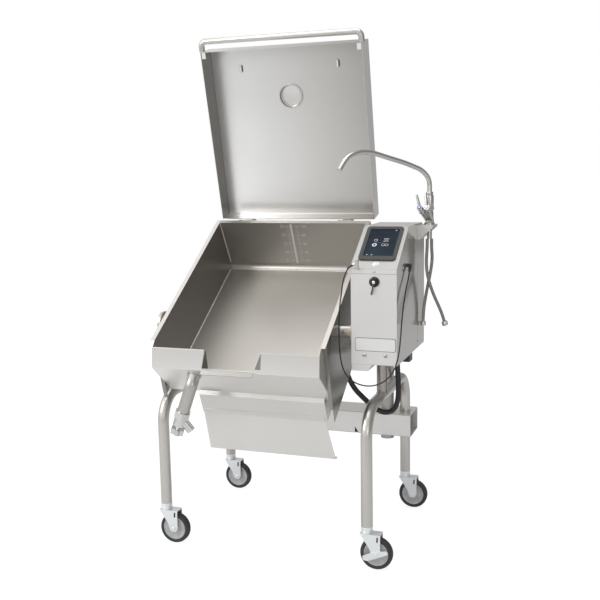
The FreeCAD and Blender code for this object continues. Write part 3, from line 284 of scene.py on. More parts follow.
CONDUIT_DIA = 0.021
elbow_end = pan_point(287, 42, -262)
elbow_down = pan_point(287, 42, -296)
conduit_route = [
    tuple(elbow_end), tuple(elbow_down), (0.312, -0.085, 0.634), (0.352, -0.088, 0.598), (0.396, -0.086, 0.559),
    (0.440, -0.078, 0.540), (0.476, -0.072, 0.560), (0.488, -0.070, 0.602), (0.489, -0.069, 0.655),
    (0.486, -0.070, 0.710), (0.484, -0.070, 0.752), (0.484, -0.070, 0.773),
]
black_sleeve = soft_plastic("black_sleeve", (0.012, 0.012, 0.013), 0.45)
conduit_line = curve_line(conduit_route)
conduit = tube("heater_conduit_tube", conduit_line, CONDUIT_DIA / 2, 28, True, black_sleeve)
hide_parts("heater_conduit")
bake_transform(conduit)

HOSE_DIA = 0.0127
hose_routes = {
    "cold": [(0.571, 0.088, 1.228), (0.571, 0.088, 1.192), (0.569, 0.082, 1.152), (0.570, 0.080, 1.110),
             (0.576, 0.082, 1.070), (0.588, 0.084, 1.030), (0.602, 0.088, 0.992), (0.618, 0.093, 0.955),
             (0.631, 0.098, 0.922), (0.639, 0.101, 0.893)],
    "hot": [(0.587, 0.096, 1.228), (0.587, 0.096, 1.192), (0.589, 0.104, 1.152), (0.584, 0.108, 1.110),
            (0.577, 0.108, 1.070), (0.569, 0.105, 1.030), (0.563, 0.100, 0.992), (0.558, 0.094, 0.955),
            (0.556, 0.088, 0.922), (0.556, 0.084, 0.893)],
}
hose_braid = braid("hose_braid")
nut_chrome, nut_tree, nut_shader = node_tree("nut_chrome")
nut_shader.inputs["Metallic"].default_value = 1.0
nut_shader.inputs["Base Color"].default_value = (0.66, 0.65, 0.63, 1)
spread(nut_tree, grain(nut_tree, (90, 90, 90)), 0.14, 0.3, nut_shader.inputs["Roughness"])
for side, route in hose_routes.items():
    line = curve_line(route)
    hose = tube("hose_" + side + "_braid", line, HOSE_DIA / 2, 24, True, hose_braid)
    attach(hose, "root")
    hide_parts("hose_" + side)
    end = np.array(route[-1])
    axis = end - np.array(route[-2])
    axis /= np.linalg.norm(axis)
    nut = six_sided("hose_nut_" + side, end, axis, 0.011, 0.018, nut_chrome)
    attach(nut, "root")
    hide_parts("hose_fittings")

PROBE_DIA = 0.005
probe_route = [
    (0.37982, -0.32856, 1.16414), (0.36242, -0.32936, 1.15434), (0.350, -0.333, 1.129), (0.341, -0.336, 1.096),
    (0.337, -0.336, 1.060), (0.330, -0.336, 1.016), (0.326, -0.336, 0.960), (0.325, -0.336, 0.902),
    (0.327, -0.336, 0.846), (0.333, -0.336, 0.794), (0.350, -0.336, 0.750), (0.385, -0.336, 0.722),
    (0.432, -0.336, 0.712), (0.478, -0.336, 0.722), (0.514, -0.337, 0.748), (0.538, -0.337, 0.785),
    (0.551, -0.335, 0.832), (0.556, -0.328, 0.885), (0.556, -0.310, 0.938), (0.555, -0.286, 0.988),
    (0.555, -0.254, 1.034), (0.554, -0.218, 1.074), (0.553, -0.17914, 1.09599), (0.553, -0.16036, 1.12433),
]
probe_line = curve_line(probe_route)
probe = tube("probe_cord_lead", probe_line, PROBE_DIA / 2, 16, True, black_sleeve)
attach(probe, "root")
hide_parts("probe_cord")


# Studio: white paper floor and room, with broad soft lamps from the front left and above. Mirrors in the metal
# see a pale room too, a little dimmer behind and to the right, as soft boxes on one side leave it.
def paper_floor():
    """Diffuse floor that adds the lamps' shadow to paper white where the camera sees it."""
    material, tree, shader = node_tree("floor_paper")
    shader.inputs["Base Color"].default_value = (0.9, 0.9, 0.9, 1)
    shader.inputs["Roughness"].default_value = 0.9
    shader.inputs["Specular IOR Level"].default_value = 0.0
    paper = tree.nodes.new("ShaderNodeEmission")
    paper.inputs["Strength"].default_value = 1.24
    share = tree.nodes.new("ShaderNodeMath")
    share.operation = "MULTIPLY"
    share.inputs[1].default_value = PAPER_SHARE
    ray_kind = tree.nodes.new("ShaderNodeLightPath")
    mixed = tree.nodes.new("ShaderNodeMixShader")
    tree.links.new(ray_kind.outputs["Is Camera Ray"], share.inputs[0])
    tree.links.new(share.outputs["Value"], mixed.inputs["Fac"])
    tree.links.new(shader.outputs["BSDF"], mixed.inputs[1])
    tree.links.new(paper.outputs["Emission"], mixed.inputs[2])
    tree.links.new(mixed.outputs["Shader"], tree.nodes["Material Output"].inputs["Surface"])
    return material


PAPER_SHARE = 0.7
FLOOR_HALF = 12.0
corners = np.array([[(-FLOOR_HALF, -FLOOR_HALF, 0), (FLOOR_HALF, -FLOOR_HALF, 0)],
                    [(-FLOOR_HALF, FLOOR_HALF, 0), (FLOOR_HALF, FLOOR_HALF, 0)]], float)
floor = surface("floor", corners, False, False, paper_floor())

ROOM_LEVEL = 0.55
BRIGHT_SIDE = (-0.75, -0.55, 0.37)
world = bpy.data.worlds.new("room")
world.use_nodes = True
bpy.context.scene.world = world
room = world.node_tree
room_light = room.nodes["Background"]
room_light.inputs["Color"].default_value = (0.98, 0.99, 1.0, 1)
room_light.inputs["Strength"].default_value = ROOM_LEVEL
room_white = room.nodes.new("ShaderNodeBackground")
room_white.inputs["Color"].default_value = (1, 1, 1, 1)
room_gloss = room.nodes.new("ShaderNodeBackground")
room_gloss.inputs["Color"].default_value = (1.0, 0.99, 0.975, 1)
direction = room.nodes.new("ShaderNodeTexCoord")
facing = room.nodes.new("ShaderNodeVectorMath")
facing.operation = "DOT_PRODUCT"
facing.inputs[1].default_value = BRIGHT_SIDE
level = room.nodes.new("ShaderNodeMapRange")
level.interpolation_type = "SMOOTHSTEP"
level.inputs["From Min"].default_value = -0.75
level.inputs["From Max"].default_value = 0.85
level.inputs["To Min"].default_value = 0.30
level.inputs["To Max"].default_value = 1.0
rays = room.nodes.new("ShaderNodeLightPath")
mirror_share = room.nodes.new("ShaderNodeMath")
mirror_share.operation = "MAXIMUM"
first = room.nodes.new("ShaderNodeMixShader")
second = room.nodes.new("ShaderNodeMixShader")
room.links.new(direction.outputs["Generated"], facing.inputs[0])
room.links.new(facing.outputs["Value"], level.inputs["Value"])
room.links.new(level.outputs["Result"], room_gloss.inputs["Strength"])
room.links.new(rays.outputs["Is Glossy Ray"], mirror_share.inputs[0])
room.links.new(rays.outputs["Is Transmission Ray"], mirror_share.inputs[1])
room.links.new(mirror_share.outputs["Value"], first.inputs["Fac"])
room.links.new(room_light.outputs["Background"], first.inputs[1])
room.links.new(room_gloss.outputs["Background"], first.inputs[2])
room.links.new(rays.outputs["Is Camera Ray"], second.inputs["Fac"])
room.links.new(first.outputs["Shader"], second.inputs[1])
room.links.new(room_white.outputs["Background"], second.inputs[2])
room.links.new(second.outputs["Shader"], room.nodes["World Output"].inputs["Surface"])

for name, place, wide, power in (("key", (-2.9, -3.1, 3.3), 2.0, 82), ("top", (0.1, -0.5, 4.3), 2.8, 42),
                                 ("fill", (2.6, -3.4, 1.6), 1.6, 10)):
    lamp_data = bpy.data.lights.new(name, "AREA")
    lamp_data.size = wide
    lamp_data.energy = power
    lamp = bpy.data.objects.new(name, lamp_data)
    aim = Vector((0.0, -0.1, 0.9)) - Vector(place)
    lamp.matrix_world = Matrix.Translation(Vector(place)) @ aim.to_track_quat("-Z", "Y").to_matrix().to_4x4()
    bpy.context.scene.collection.objects.link(lamp)


# Frame: two arches of 1 3/4 inch stainless tube, polished and bent in one piece, welded to the box beam across the
# rear. The posts are cut to the tube they stand on, with a bead of weld round each joint.
def steel(name, colour, roughness, stretch, metallic=0.92, slope=0.010, uneven=0.02):
    """Stainless steel: fine streaks of polish along one axis in gloss and bump, over broad soft smudges in colour. The
    bump's height is its slope over the streaks' frequency."""
    material, tree, shader = node_tree(name)
    streak = grain(tree, stretch, 2.0)
    cloud = grain(tree, (4, 4, 4), 2.0)
    tint(tree, cloud, [c * (1 - uneven) for c in colour], [min(1, c * (1 + uneven)) for c in colour],
         shader.inputs["Base Color"])
    spread(tree, streak, roughness - 0.008, roughness + 0.008, shader.inputs["Roughness"])
    relief(tree, streak, 1.0, slope / 6.3 / max(stretch), shader)
    shader.inputs["Metallic"].default_value = metallic
    return material


def masked(material, axis, edge, width, colour, roughness=None):
    """Second tone past a plane: where the object coordinates' dot product with axis passes edge, the base colour
    (and gloss) goes to a second value over a short width."""
    tree = material.node_tree
    shader = tree.nodes["Principled BSDF"]
    place = tree.nodes.new("ShaderNodeTexCoord")
    along = tree.nodes.new("ShaderNodeVectorMath")
    along.operation = "DOT_PRODUCT"
    along.inputs[1].default_value = axis
    step = tree.nodes.new("ShaderNodeMapRange")
    step.inputs["From Min"].default_value = edge - width / 2
    step.inputs["From Max"].default_value = edge + width / 2
    tree.links.new(place.outputs["Object"], along.inputs[0])
    tree.links.new(along.outputs["Value"], step.inputs["Value"])
    blend = tree.nodes.new("ShaderNodeMix")
    blend.data_type = "RGBA"
    before = shader.inputs["Base Color"].links[0].from_socket
    tree.links.new(step.outputs["Result"], blend.inputs[0])
    tree.links.new(before, blend.inputs[6])
    blend.inputs[7].default_value = (*colour, 1)
    tree.links.new(blend.outputs[2], shader.inputs["Base Color"])
    if roughness is not None:
        gloss = tree.nodes.new("ShaderNodeMix")
        tree.links.new(step.outputs["Result"], gloss.inputs[0])
        tree.links.new(shader.inputs["Roughness"].links[0].from_socket, gloss.inputs[2])
        gloss.inputs[3].default_value = roughness
        tree.links.new(gloss.outputs[0], shader.inputs["Roughness"])
    return material


def arc_line(points, radii, steps=14):
    """Straight runs joined by round bends: a bend is centre + its start arm turned evenly onto its end arm."""
    points = [np.asarray(p, float) for p in points]
    line = [points[0]]
    for before, here, after, radius in zip(points, points[1:], points[2:], radii):
        back = (before - here) / np.linalg.norm(before - here)
        ahead = (after - here) / np.linalg.norm(after - here)
        half = math.acos(float(np.clip(back @ ahead, -1, 1))) / 2
        middle = back + ahead
        middle /= np.linalg.norm(middle)
        centre = here + middle * radius / math.sin(half)
        start = here + back * radius / math.tan(half) - centre
        end = here + ahead * radius / math.tan(half) - centre
        turn = math.pi - 2 * half
        share = np.linspace(0, 1, steps)[:, None]
        line.extend(centre + (np.sin((1 - share) * turn) * start + np.sin(share * turn) * end) / math.sin(turn))
    line.append(points[-1])
    return np.array(line)


def weld_bead(name, centre, axis, radius, body, material, bead=0.0022, saddle=0.0):
    """Ring of weld: a thin torus whose thickness ripples as the sine of 60 turns. With a saddle radius R the ring
    drops by R - sqrt(R^2 - x^2), so that it lies on a round tube."""
    turn = np.linspace(0, 2 * np.pi, 120, endpoint=False)
    axis = np.asarray(axis, float) / np.linalg.norm(axis)
    side = np.cross(axis, (0, 1, 0) if abs(axis[1]) < 0.9 else (1, 0, 0))
    side /= np.linalg.norm(side)
    other = np.cross(axis, side)
    outward = np.cos(turn)[:, None] * side + np.sin(turn)[:, None] * other
    path = np.asarray(centre) + radius * outward
    if saddle:
        path = path - axis * (saddle - np.sqrt(saddle ** 2 - (radius * np.cos(turn)) ** 2))[:, None]
    around = np.linspace(0, 2 * np.pi, 10, endpoint=False)
    thick = bead * (1 + 0.16 * np.sin(60 * turn))[:, None, None]
    ring = path[:, None] + thick * (np.cos(around)[None, :, None] * outward[:, None]
                                    + np.sin(around)[None, :, None] * axis[None, None])
    return placed(surface(name, np.vstack([ring, ring[:1]]), True, False, material), body, "tube_steel")


def placed(piece, body, slot, *stands_for):
    """Attach a piece to the body it rides on and hide the solids that it stands for. The slot argument, its finish, is
    not used.
    """
    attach(piece, body)
    if stands_for:
        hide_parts(*stands_for)
    return piece


def dress(node, material):
    """Give a kept CAD piece its finish."""
    mesh = nodes[node].data
    mesh.materials.clear()
    mesh.materials.append(material)


TUBE_R = 0.02225
LEG_X = 0.426
LEG_Y = 0.329
ARCH_Z = 0.615
FOOT_Z = 0.166
tube_steel = steel("polished_tube", (0.58, 0.56, 0.53), 0.29, (260, 260, 18), 0.96, 0.0008)
bead_steel = steel("weld_bead", (0.52, 0.50, 0.47), 0.38, (300, 300, 300), 0.9, 0.3)
for side, x in (("left", -LEG_X), ("right", LEG_X)):
    corners = [(x, -LEG_Y, FOOT_Z), (x, -LEG_Y, ARCH_Z), (x, LEG_Y, ARCH_Z), (x, LEG_Y, FOOT_Z)]
    placed(tube("arch_" + side + "_tube", arc_line(corners, [0.112] * 2), TUBE_R, 64, True, tube_steel),
           "root", "tube_steel", "arch_" + side)
    for level_z, name in ((0.3436, "under"), (0.4444, "over")):
        weld_bead("beam_weld_%s_%s" % (name, side), (x, LEG_Y, level_z), (0, 0, 1), TUBE_R, "root", bead_steel)

beam_steel = steel("beam_sheet", (0.78, 0.765, 0.745), 0.36, (6, 160, 160), 0.85)
plate_steel = steel("support_plate", (0.60, 0.585, 0.56), 0.36, (160, 160, 8), 0.9)
post_steel = steel("post_pipe", (0.40, 0.38, 0.36), 0.26, (260, 260, 10), 0.96, 0.0008)
bronze = steel("bronze_sleeve", (0.42, 0.33, 0.20), 0.35, (90, 90, 90), 0.9)
dress("cross_beam", beam_steel)
dress("rear_post", post_steel)
dress("left_support", plate_steel)
dress("trunnion_bearings", bronze)
POST_R = 0.0215
front_post = tube("front_post_pipe", np.linspace((LEG_X, -0.085, 0.627), (LEG_X, -0.085, 0.791), 5), POST_R, 64,
                  True, post_steel)
placed(front_post, "root", "tube_steel", "front_post")
weld_bead("front_post_weld", (LEG_X, -0.085, 0.6375), (0, 0, 1), POST_R, "root", bead_steel, 0.0028, 0.0226)
for level_z, name in ((0.4446, "over"), (0.3434, "under")):
    weld_bead("rear_post_weld_" + name, (0.345, 0.330, level_z), (0, 0, 1), 0.030, "root", bead_steel)


# Casters: zinc plated pressed forks under a double ball race, grey moulded discs and black rubber tyres, all
# trailing to the right. Only the front right one has a brake lever across its axle.
def lathe(name, profile, centre, axis, material, sides=72, caps=True):
    """Turned piece: a (radius, height) profile carried round an axis through its centre."""
    profile = np.asarray(profile, float)
    axis = np.asarray(axis, float) / np.linalg.norm(axis)
    side = np.cross(axis, (0, 0, 1) if abs(axis[2]) < 0.9 else (1, 0, 0))
    side /= np.linalg.norm(side)
    other = np.cross(axis, side)
    turn = np.linspace(0, 2 * np.pi, sides, endpoint=False)
    ring = np.cos(turn)[:, None] * side + np.sin(turn)[:, None] * other
    grid = profile[:, 0][:, None, None] * ring[None] + profile[:, 1][:, None, None] * axis + np.asarray(centre)
    return surface(name, grid, True, caps, material)


def rounded(profile, radius=0.001, steps=4):
    """Profile with each inner corner turned into a small curve: (1-s)^2 entry + 2s(1-s) corner + s^2 leaving."""
    profile = np.asarray(profile, float)
    result = [profile[0]]
    for before, here, after in zip(profile, profile[1:], profile[2:]):
        back = before - here
        ahead = after - here
        reach = min(radius, 0.45 * np.linalg.norm(back), 0.45 * np.linalg.norm(ahead))
        start = here + back / np.linalg.norm(back) * reach
        end = here + ahead / np.linalg.norm(ahead) * reach
        share = np.linspace(0, 1, steps)[:, None]
        result.extend((1 - share) ** 2 * start + 2 * share * (1 - share) * here + share ** 2 * end)
    result.append(profile[-1])
    return np.array(result)


def extruded(name, outline, origin, across, upward, outward, depth, material, bevel=0.0008):
    """Flat piece: a closed outline (a, b) at origin + a across + b upward, drawn out by depth, its front edge
    broken by a small bevel that moves the outline inwards along its own normals."""
    outline = np.asarray(outline, float)
    tangent = np.roll(outline, -1, axis=0) - np.roll(outline, 1, axis=0)
    inward = np.stack([-tangent[:, 1], tangent[:, 0]], axis=-1)
    inward /= np.linalg.norm(inward, axis=1)[:, None]
    area = np.sum(outline[:, 0] * np.roll(outline[:, 1], -1) - np.roll(outline[:, 0], -1) * outline[:, 1])
    inward *= np.sign(area)
    across, upward, outward, origin = (np.asarray(v, float) for v in (across, upward, outward, origin))
    rings = []
    for height, shift in ((0.0, 0.0), (depth - bevel, 0.0), (depth, bevel)):
        flat = outline + inward * shift
        rings.append(origin + flat[:, :1] * across + flat[:, 1:] * upward + outward * height)
    grid = np.array(rings)
    if np.sign(area) * np.dot(np.cross(across, upward), outward) < 0:
        grid = grid[:, ::-1]
    piece = surface(name, grid, True, True, material)
    piece.data.shade_flat()
    return piece


def round_rect(width, height, radius, steps=5):
    """Outline of a rectangle about its middle with quarter-circle corners, anticlockwise."""
    half = np.array((width / 2 - radius, height / 2 - radius))
    points = []
    for quarter, sign in enumerate(((1, 1), (-1, 1), (-1, -1), (1, -1))):
        turn = np.linspace(0, np.pi / 2, steps) + quarter * np.pi / 2
        points.append(half * sign + radius * np.stack([np.cos(turn), np.sin(turn)], axis=-1))
    return np.vstack(points)


zinc = steel("zinc_plate", (0.86, 0.88, 0.89), 0.30, (60, 60, 60), 0.75)
tyre_rubber = soft_plastic("tyre_rubber", (0.036, 0.036, 0.035), 0.6, 700, 0.1)
disc_plastic = soft_plastic("wheel_disc", (0.48, 0.485, 0.49), 0.42, 400, 0.05)
fork_black = soft_plastic("fork_black", (0.01, 0.01, 0.01), 0.5)
WHEEL_R = 0.0635
HUB_R = 0.0485
TRAIL = 0.0375
FORK_FACE = 0.0225
for key, (leg_x, leg_y) in {"fl": (-LEG_X, -LEG_Y), "rl": (-LEG_X, LEG_Y), "fr": (LEG_X, -LEG_Y),
                            "rr": (LEG_X, LEG_Y)}.items():
    axle = (leg_x + TRAIL, leg_y, WHEEL_R)
    tread = np.linspace(-1, 1, 21)
    crown = np.stack([WHEEL_R - 0.0045 * np.abs(tread) ** 3.2, 0.0158 * tread], axis=-1)
    groove = [(HUB_R, -0.0138), (HUB_R + 0.0008, -0.0146), (HUB_R + 0.0050, -0.0150)]
    tyre = lathe("tyre_" + key, [*groove, *crown, *[(r, -h) for r, h in groove[::-1]], groove[0]], axle, (0, 1, 0),
                 tyre_rubber, 96, False)
    placed(tyre, "wheel_" + key, "tyre_rubber", "caster_tyre_" + key)
    face = [(0.0052, 0.0178), (0.0125, 0.0178), (0.0150, 0.0125), (0.0185, 0.0105), (0.0300, 0.0098),
            (0.0400, 0.0104), (0.0440, 0.0128), (HUB_R - 0.0002, 0.0136)]
    disc = lathe("wheel_disc_" + key, rounded([(r, -h) for r, h in face] + face[::-1], 0.0016), axle, (0, 1, 0),
                 disc_plastic)
    placed(disc, "wheel_" + key, "hub_grey", "caster_hub_" + key)
    dress("caster_fork_" + key, zinc)
    slot_x = leg_x + 0.045
    for sign, name in ((-1, "front"), (1, "back")):
        heights = np.linspace(0.133, 0.114, 9)
        swing = 0.0006 * np.sin((0.133 - heights) / 0.019 * 2 * np.pi)
        slot_line = np.stack([slot_x + swing, np.full(9, leg_y + sign * (FORK_FACE + 0.0002)), heights], axis=-1)
        placed(tube("fork_slot_%s_%s" % (name, key), slot_line, 0.0030, 12, True, fork_black),
               "fork_" + key, "black_plastic")
        nut = lathe("axle_nut_%s_%s" % (name, key),
                    rounded([(0.0001, 0.0052), (0.0038, 0.0052), (0.0072, 0.0042), (0.0076, 0.0002), (0.0001, 0.0002)],
                            0.0006)[::-1], (leg_x + TRAIL, leg_y + sign * FORK_FACE, WHEEL_R), (0, sign, 0), zinc, 6)
        if key != "fr" or sign == 1:
            placed(nut, "fork_" + key, "zinc")
        else:
            bpy.data.objects.remove(nut)
    race = lathe("race_ring_" + key, rounded([(0.0125, 0.0), (0.0212, 0.0), (0.0224, -0.0030), (0.0224, -0.0062),
                                              (0.0205, -0.0092), (0.0125, -0.0095)], 0.0008)[::-1],
                 (leg_x, leg_y, 0.1508), (0, 0, 1), zinc)
    placed(race, "fork_" + key, "zinc")
    band = lathe("race_band_" + key, rounded([(0.0180, 0.0), (0.0228, 0.0), (0.0228, 0.0036), (0.0180, 0.0036)], 0.001),
                 (leg_x, leg_y, 0.1585), (0, 0, 1), zinc)
    placed(band, "root", "zinc")
dress("caster_cups", zinc)
dress("caster_brake", zinc)
brake_x = LEG_X + TRAIL
placed(lathe("brake_washer", rounded([(0.0052, 0.0), (0.0098, 0.0), (0.0098, 0.0012), (0.0052, 0.0012)], 0.0004),
             (brake_x, -0.3568, WHEEL_R), (0, -1, 0), zinc), "brake", "zinc")


# Pan: a deep tub of heavy stainless plate with ground welds in its corners, a rim flange, a sloping front wall and
# a folded guard with a pouring notch. A thin jacket hangs under the rim over the sides and rear.
PAN_U = (0.0, math.cos(TILT), math.sin(TILT))
PAN_N = (0.0, -math.sin(TILT), math.cos(TILT))
pan_steel = steel("pan_plate", (0.49, 0.47, 0.44), 0.36, (200, 10, 200), 0.92)
# Painted light: past the middle of its thickness, the sloping front wall's outer face gets a light base colour, as the
# lamps light it from the front.
front_wall_dir = (np.array(PAN_U) * 63 + np.array(PAN_N) * -169) / math.hypot(63, 169)
front_wall_out = np.array((0.0, front_wall_dir[2], -front_wall_dir[1]))
if np.dot(front_wall_out, PAN_U) > 0:
    front_wall_out = -front_wall_out
lower_inner = pan_point(0, -235, -12)
masked(pan_steel, tuple(front_wall_out), float(np.dot(lower_inner, front_wall_out)) + 0.0018, 0.0012,
       (0.90, 0.885, 0.86), 0.34)
# Painted light: the guard's outer face, past the middle of its thickness, gets a lighter base colour too.
guard_dir = (np.array(PAN_U) * (-189 + 235) + np.array(PAN_N) * (50 + 12)) / math.hypot(46, 62)
guard_out = np.array((0.0, -guard_dir[2], guard_dir[1]))
masked(pan_steel, tuple(guard_out), float(np.dot(lower_inner, guard_out)) + 0.0018, 0.0012, (0.76, 0.745, 0.725), 0.34)
# Painted shade: the jacket sheet has a dark base colour for the shade on its side that faces away from the lamps; the
# same dark sheet stands for the shade in the lid's vent gap.
shaded_sheet_steel = steel("sheet_painted_shade", (0.31, 0.30, 0.28), 0.22, (160, 6, 160), 0.95, 0.02, 0.06)
front_steel = steel("front_sheet", (0.69, 0.68, 0.66), 0.36, (8, 200, 200), 0.85)
# Painted shade: the lip and the top of the outer front wall under it, forward of u = -238 mm, get a darker base colour.
pan_front = -np.array(PAN_U)
masked(pan_steel, tuple(pan_front), float(np.dot(pan_point(0, -238, -12), pan_front)), 0.001, (0.36, 0.35, 0.335))
# Painted shade on the left wall's inner face (dark base colour), and painted light past it, on the wall's top and outer
# face (light base colour).
masked(pan_steel, (-1.0, 0.0, 0.0), 0.3815, 0.0003, (0.22, 0.21, 0.195))
masked(pan_steel, (-1.0, 0.0, 0.0), 0.3822, 0.0003, (0.74, 0.73, 0.71))
dress("pan_tub", pan_steel)
dress("pan_jacket", shaded_sheet_steel)
dress("heater_housing", front_steel)
dress("drip_shield", front_steel)
dress("heating_elements", bead_steel)
dress("trunnion_shafts", post_steel)
dress("hinge_brackets", plate_steel)
dress("conduit_elbow", black_sleeve)

# Weld lines in the pan's inner corners: ground welds, with a lighter base colour that also paints the corners'
# highlight.
weld_highlight_steel = steel("ground_weld_painted_highlight", (0.72, 0.70, 0.67), 0.30, (120, 120, 120), 0.85)
INNER_L = -381.8
INNER_R = 290.2
FLOOR_N = -181.0
TOE_U = -172.0
REAR_LOW_U = 588.0
REAR_TOP_U = 596.0
RIM_N = 62.0
seams = {
    "left_floor": ((INNER_L, TOE_U + 4, FLOOR_N), (INNER_L, 563, FLOOR_N)),
    "right_floor": ((INNER_R, TOE_U + 4, FLOOR_N), (INNER_R, 563, FLOOR_N)),
    "rear_left": ((INNER_L, REAR_LOW_U, FLOOR_N + 25), (INNER_L, REAR_TOP_U, RIM_N - 1)),
    "rear_right": ((INNER_R, REAR_LOW_U, FLOOR_N + 25), (INNER_R, REAR_TOP_U, RIM_N - 1)),
    "rear_floor": ((INNER_L + 2, 567, FLOOR_N + 1.2), (INNER_R - 2, 567, FLOOR_N + 1.2)),
}
for name, (start, end) in seams.items():
    share = np.linspace(0, 1, 90)[:, None]
    place = np.array(start) + share * (np.array(end) - start)
    line = pan_point(place[:, 0], place[:, 1], place[:, 2])
    ripple = 0.0030 + 0.0003 * np.sin(np.linspace(0, 140 * np.pi, 90))
    placed(tube("weld_" + name, line, ripple, 12, True, weld_highlight_steel), "pan", "pan_steel")

# Fill scale: an etched strip with ticks and plain numbers on the pan's rear wall, lighter than the plate.
etched = steel("etched_scale", (0.74, 0.72, 0.69), 0.5, (90, 90, 90), 0.4)


def rear_wall_point(x, n, lift):
    """Point on the inner face of the rear wall, which leans back as it rises."""
    lean = (REAR_TOP_U - REAR_LOW_U) / (RIM_N - FLOOR_N)
    return pan_point(x, REAR_LOW_U + (np.asarray(n, float) - FLOOR_N) * lean - lift, n)


def wall_tile(name, x0, x1, n0, n1, lean=0.0):
    """Thin etched patch on the rear wall: a grid bulged by 0.35 mm in its middle, whose top is moved across by lean."""
    across, rise = np.meshgrid(np.linspace(x0, x1, 4), np.linspace(n0, n1, 4))
    lift = np.where((across > x0) & (across < x1) & (rise > n0) & (rise < n1), 0.35, 0.02)
    return surface(name, rear_wall_point(across + lean * (rise - n0) / (n1 - n0), rise, lift), False, False, etched)


def wall_figure(words, x, n):
    """Etched number whose lower left corner is at (x, n) on the rear wall."""
    figure = bpy.data.curves.new("scale_figure", "FONT")
    figure.body = words
    figure.size = FIGURE_SIZE
    figure.extrude = 0.0001
    holder = bpy.data.objects.new("scale_figure", figure)
    bpy.context.scene.collection.objects.link(holder)
    bpy.context.view_layer.update()
    mesh = bpy.data.meshes.new_from_object(holder.evaluated_get(bpy.context.evaluated_depsgraph_get()))
    bpy.data.objects.remove(holder)
    flat = np.zeros(len(mesh.vertices) * 3)
    mesh.vertices.foreach_get("co", flat)
    flat = flat.reshape(-1, 3) / MM
    mesh.vertices.foreach_set("co", rear_wall_point(x + flat[:, 0], n + flat[:, 1], 0.25 + flat[:, 2])
                              .reshape(-1).astype(np.float32))
    mesh.materials.clear()
    mesh.materials.append(etched)
    piece = bpy.data.objects.new("scale_figure", mesh)
    bpy.context.scene.collection.objects.link(piece)
    return piece


FIGURE_SIZE = 0.019
LEVEL_STEP = 46.0
tiles = [wall_tile("scale_strip", -61, -51, -156, 56, 8)]
for level, (left_words, right_words) in enumerate((("5", "20"), ("10", "40"), ("15", "60"), ("20", "80"), ("25", "100"))):
    level_n = -140 + level * LEVEL_STEP
    shift = level * 1.7
    tiles.append(wall_tile("scale_left", -82 + shift, -64 + shift, level_n - 1.2, level_n + 1.2))
    tiles.append(wall_tile("scale_right", -36 + shift, -18 + shift, level_n - 1.2, level_n + 1.2))
    tiles.append(wall_figure(left_words, -106 + shift, level_n - 6))
    tiles.append(wall_figure(right_words, -12 + shift, level_n - 6))
    if level < 4:
        for part in (1, 2, 3):
            tick_n = level_n + part * LEVEL_STEP / 4
            tiles.append(wall_tile("scale_left", -76 + shift, -66 + shift, tick_n - 0.8, tick_n + 0.8))
            tiles.append(wall_tile("scale_right", -34 + shift, -24 + shift, tick_n - 0.8, tick_n + 0.8))


def joined(name, pieces):
    """One piece out of several, kept at the origin."""
    bpy.context.view_layer.update()
    with bpy.context.temp_override(active_object=pieces[0], selected_editable_objects=pieces,
                                   selected_objects=pieces, object=pieces[0]):
        bpy.ops.object.join()
    pieces[0].name = name
    pieces[0].data.name = name
    return pieces[0]


placed(joined("fill_scale", tiles), "pan", "pan_steel")

# Folds: the flange that joins the heater housing's front to the pan's wall, and the two turned-in edges of the notch.
def folded(name, outline, places, material):
    """Folded sheet: a closed (u, n) outline of the pan's frame set out at two (x, u shift, n shift) places."""
    outline = np.asarray(outline, float)
    rings = [pan_point(x + outline[:, 0] * 0, outline[:, 0] + du, outline[:, 1] + dn) for x, du, dn in places]
    return surface(name, np.array(rings), True, True, material)


flange = [(-196.4, -193.4), (-197.6, -191.8), (-178.2, -177.2), (-176.8, -178.8)]
placed(folded("housing_flange", flange, ((-253.7, 0, 0), (267.7, 0, 0)), plate_steel), "pan", "sheet_steel")
# Painted shade: the notch's turned-in edges get a dark base colour for the shade they stand in.
notch_fold_shade = steel("notch_fold", (0.30, 0.29, 0.27), 0.34, (90, 90, 90), 0.92)
GUARD_THICK = 1.8
for side, ends in (("left", ((-176.0, -162.0, -233.0, -10.0, 0.0, 26.0), (-160.5, -159.5, -191.0, 48.0, 0.0, 2.0))),
                   ("right", ((35.5, 63.0, -233.0, -10.0, -2.6, -2.6), (65.0, 66.5, -191.0, 48.0, -2.6, -2.6)))):
    rings = []
    for first_x, last_x, u, n, first_back, last_back in ends:
        first = pan_point(first_x, u, n) - guard_out * first_back * MM
        last = pan_point(last_x, u, n) - guard_out * last_back * MM
        thick = guard_out * GUARD_THICK * MM
        rings.append((first, last, last - thick, first - thick))
    placed(surface("notch_fold_" + side, np.array(rings), True, True, notch_fold_shade), "pan", "pan_steel")

# Drain: stub and bent pipe welded to the sloping front wall, a hexagon collar, the valve body and a star knob.
drain_steel = steel("drain_pipe", (0.50, 0.485, 0.46), 0.30, (60, 60, 60), 0.95, 0.0008)
cast_steel = steel("cast_valve", (0.66, 0.655, 0.64), 0.22, (120, 120, 120), 0.95, 0.08)
dress("drain_pipe", drain_steel)
dress("drain_valve", cast_steel)
dress("drain_knob", cast_steel)

# Lid: a deep tray of thin sheet with welded corners, a vent disc inside, two raised loops and a tube handle bent
# round the free edge. It turns on two pins behind the pan.
LID_HINGE = pan_point(0, 636, 29)
LID_TURN = math.radians(32.88 - 108.58)
LID_LEFT = -402.0
LID_RIGHT = 307.0
LID_MID = -47.5
LID_LENGTH = 748.0
LID_RIM = 33.7


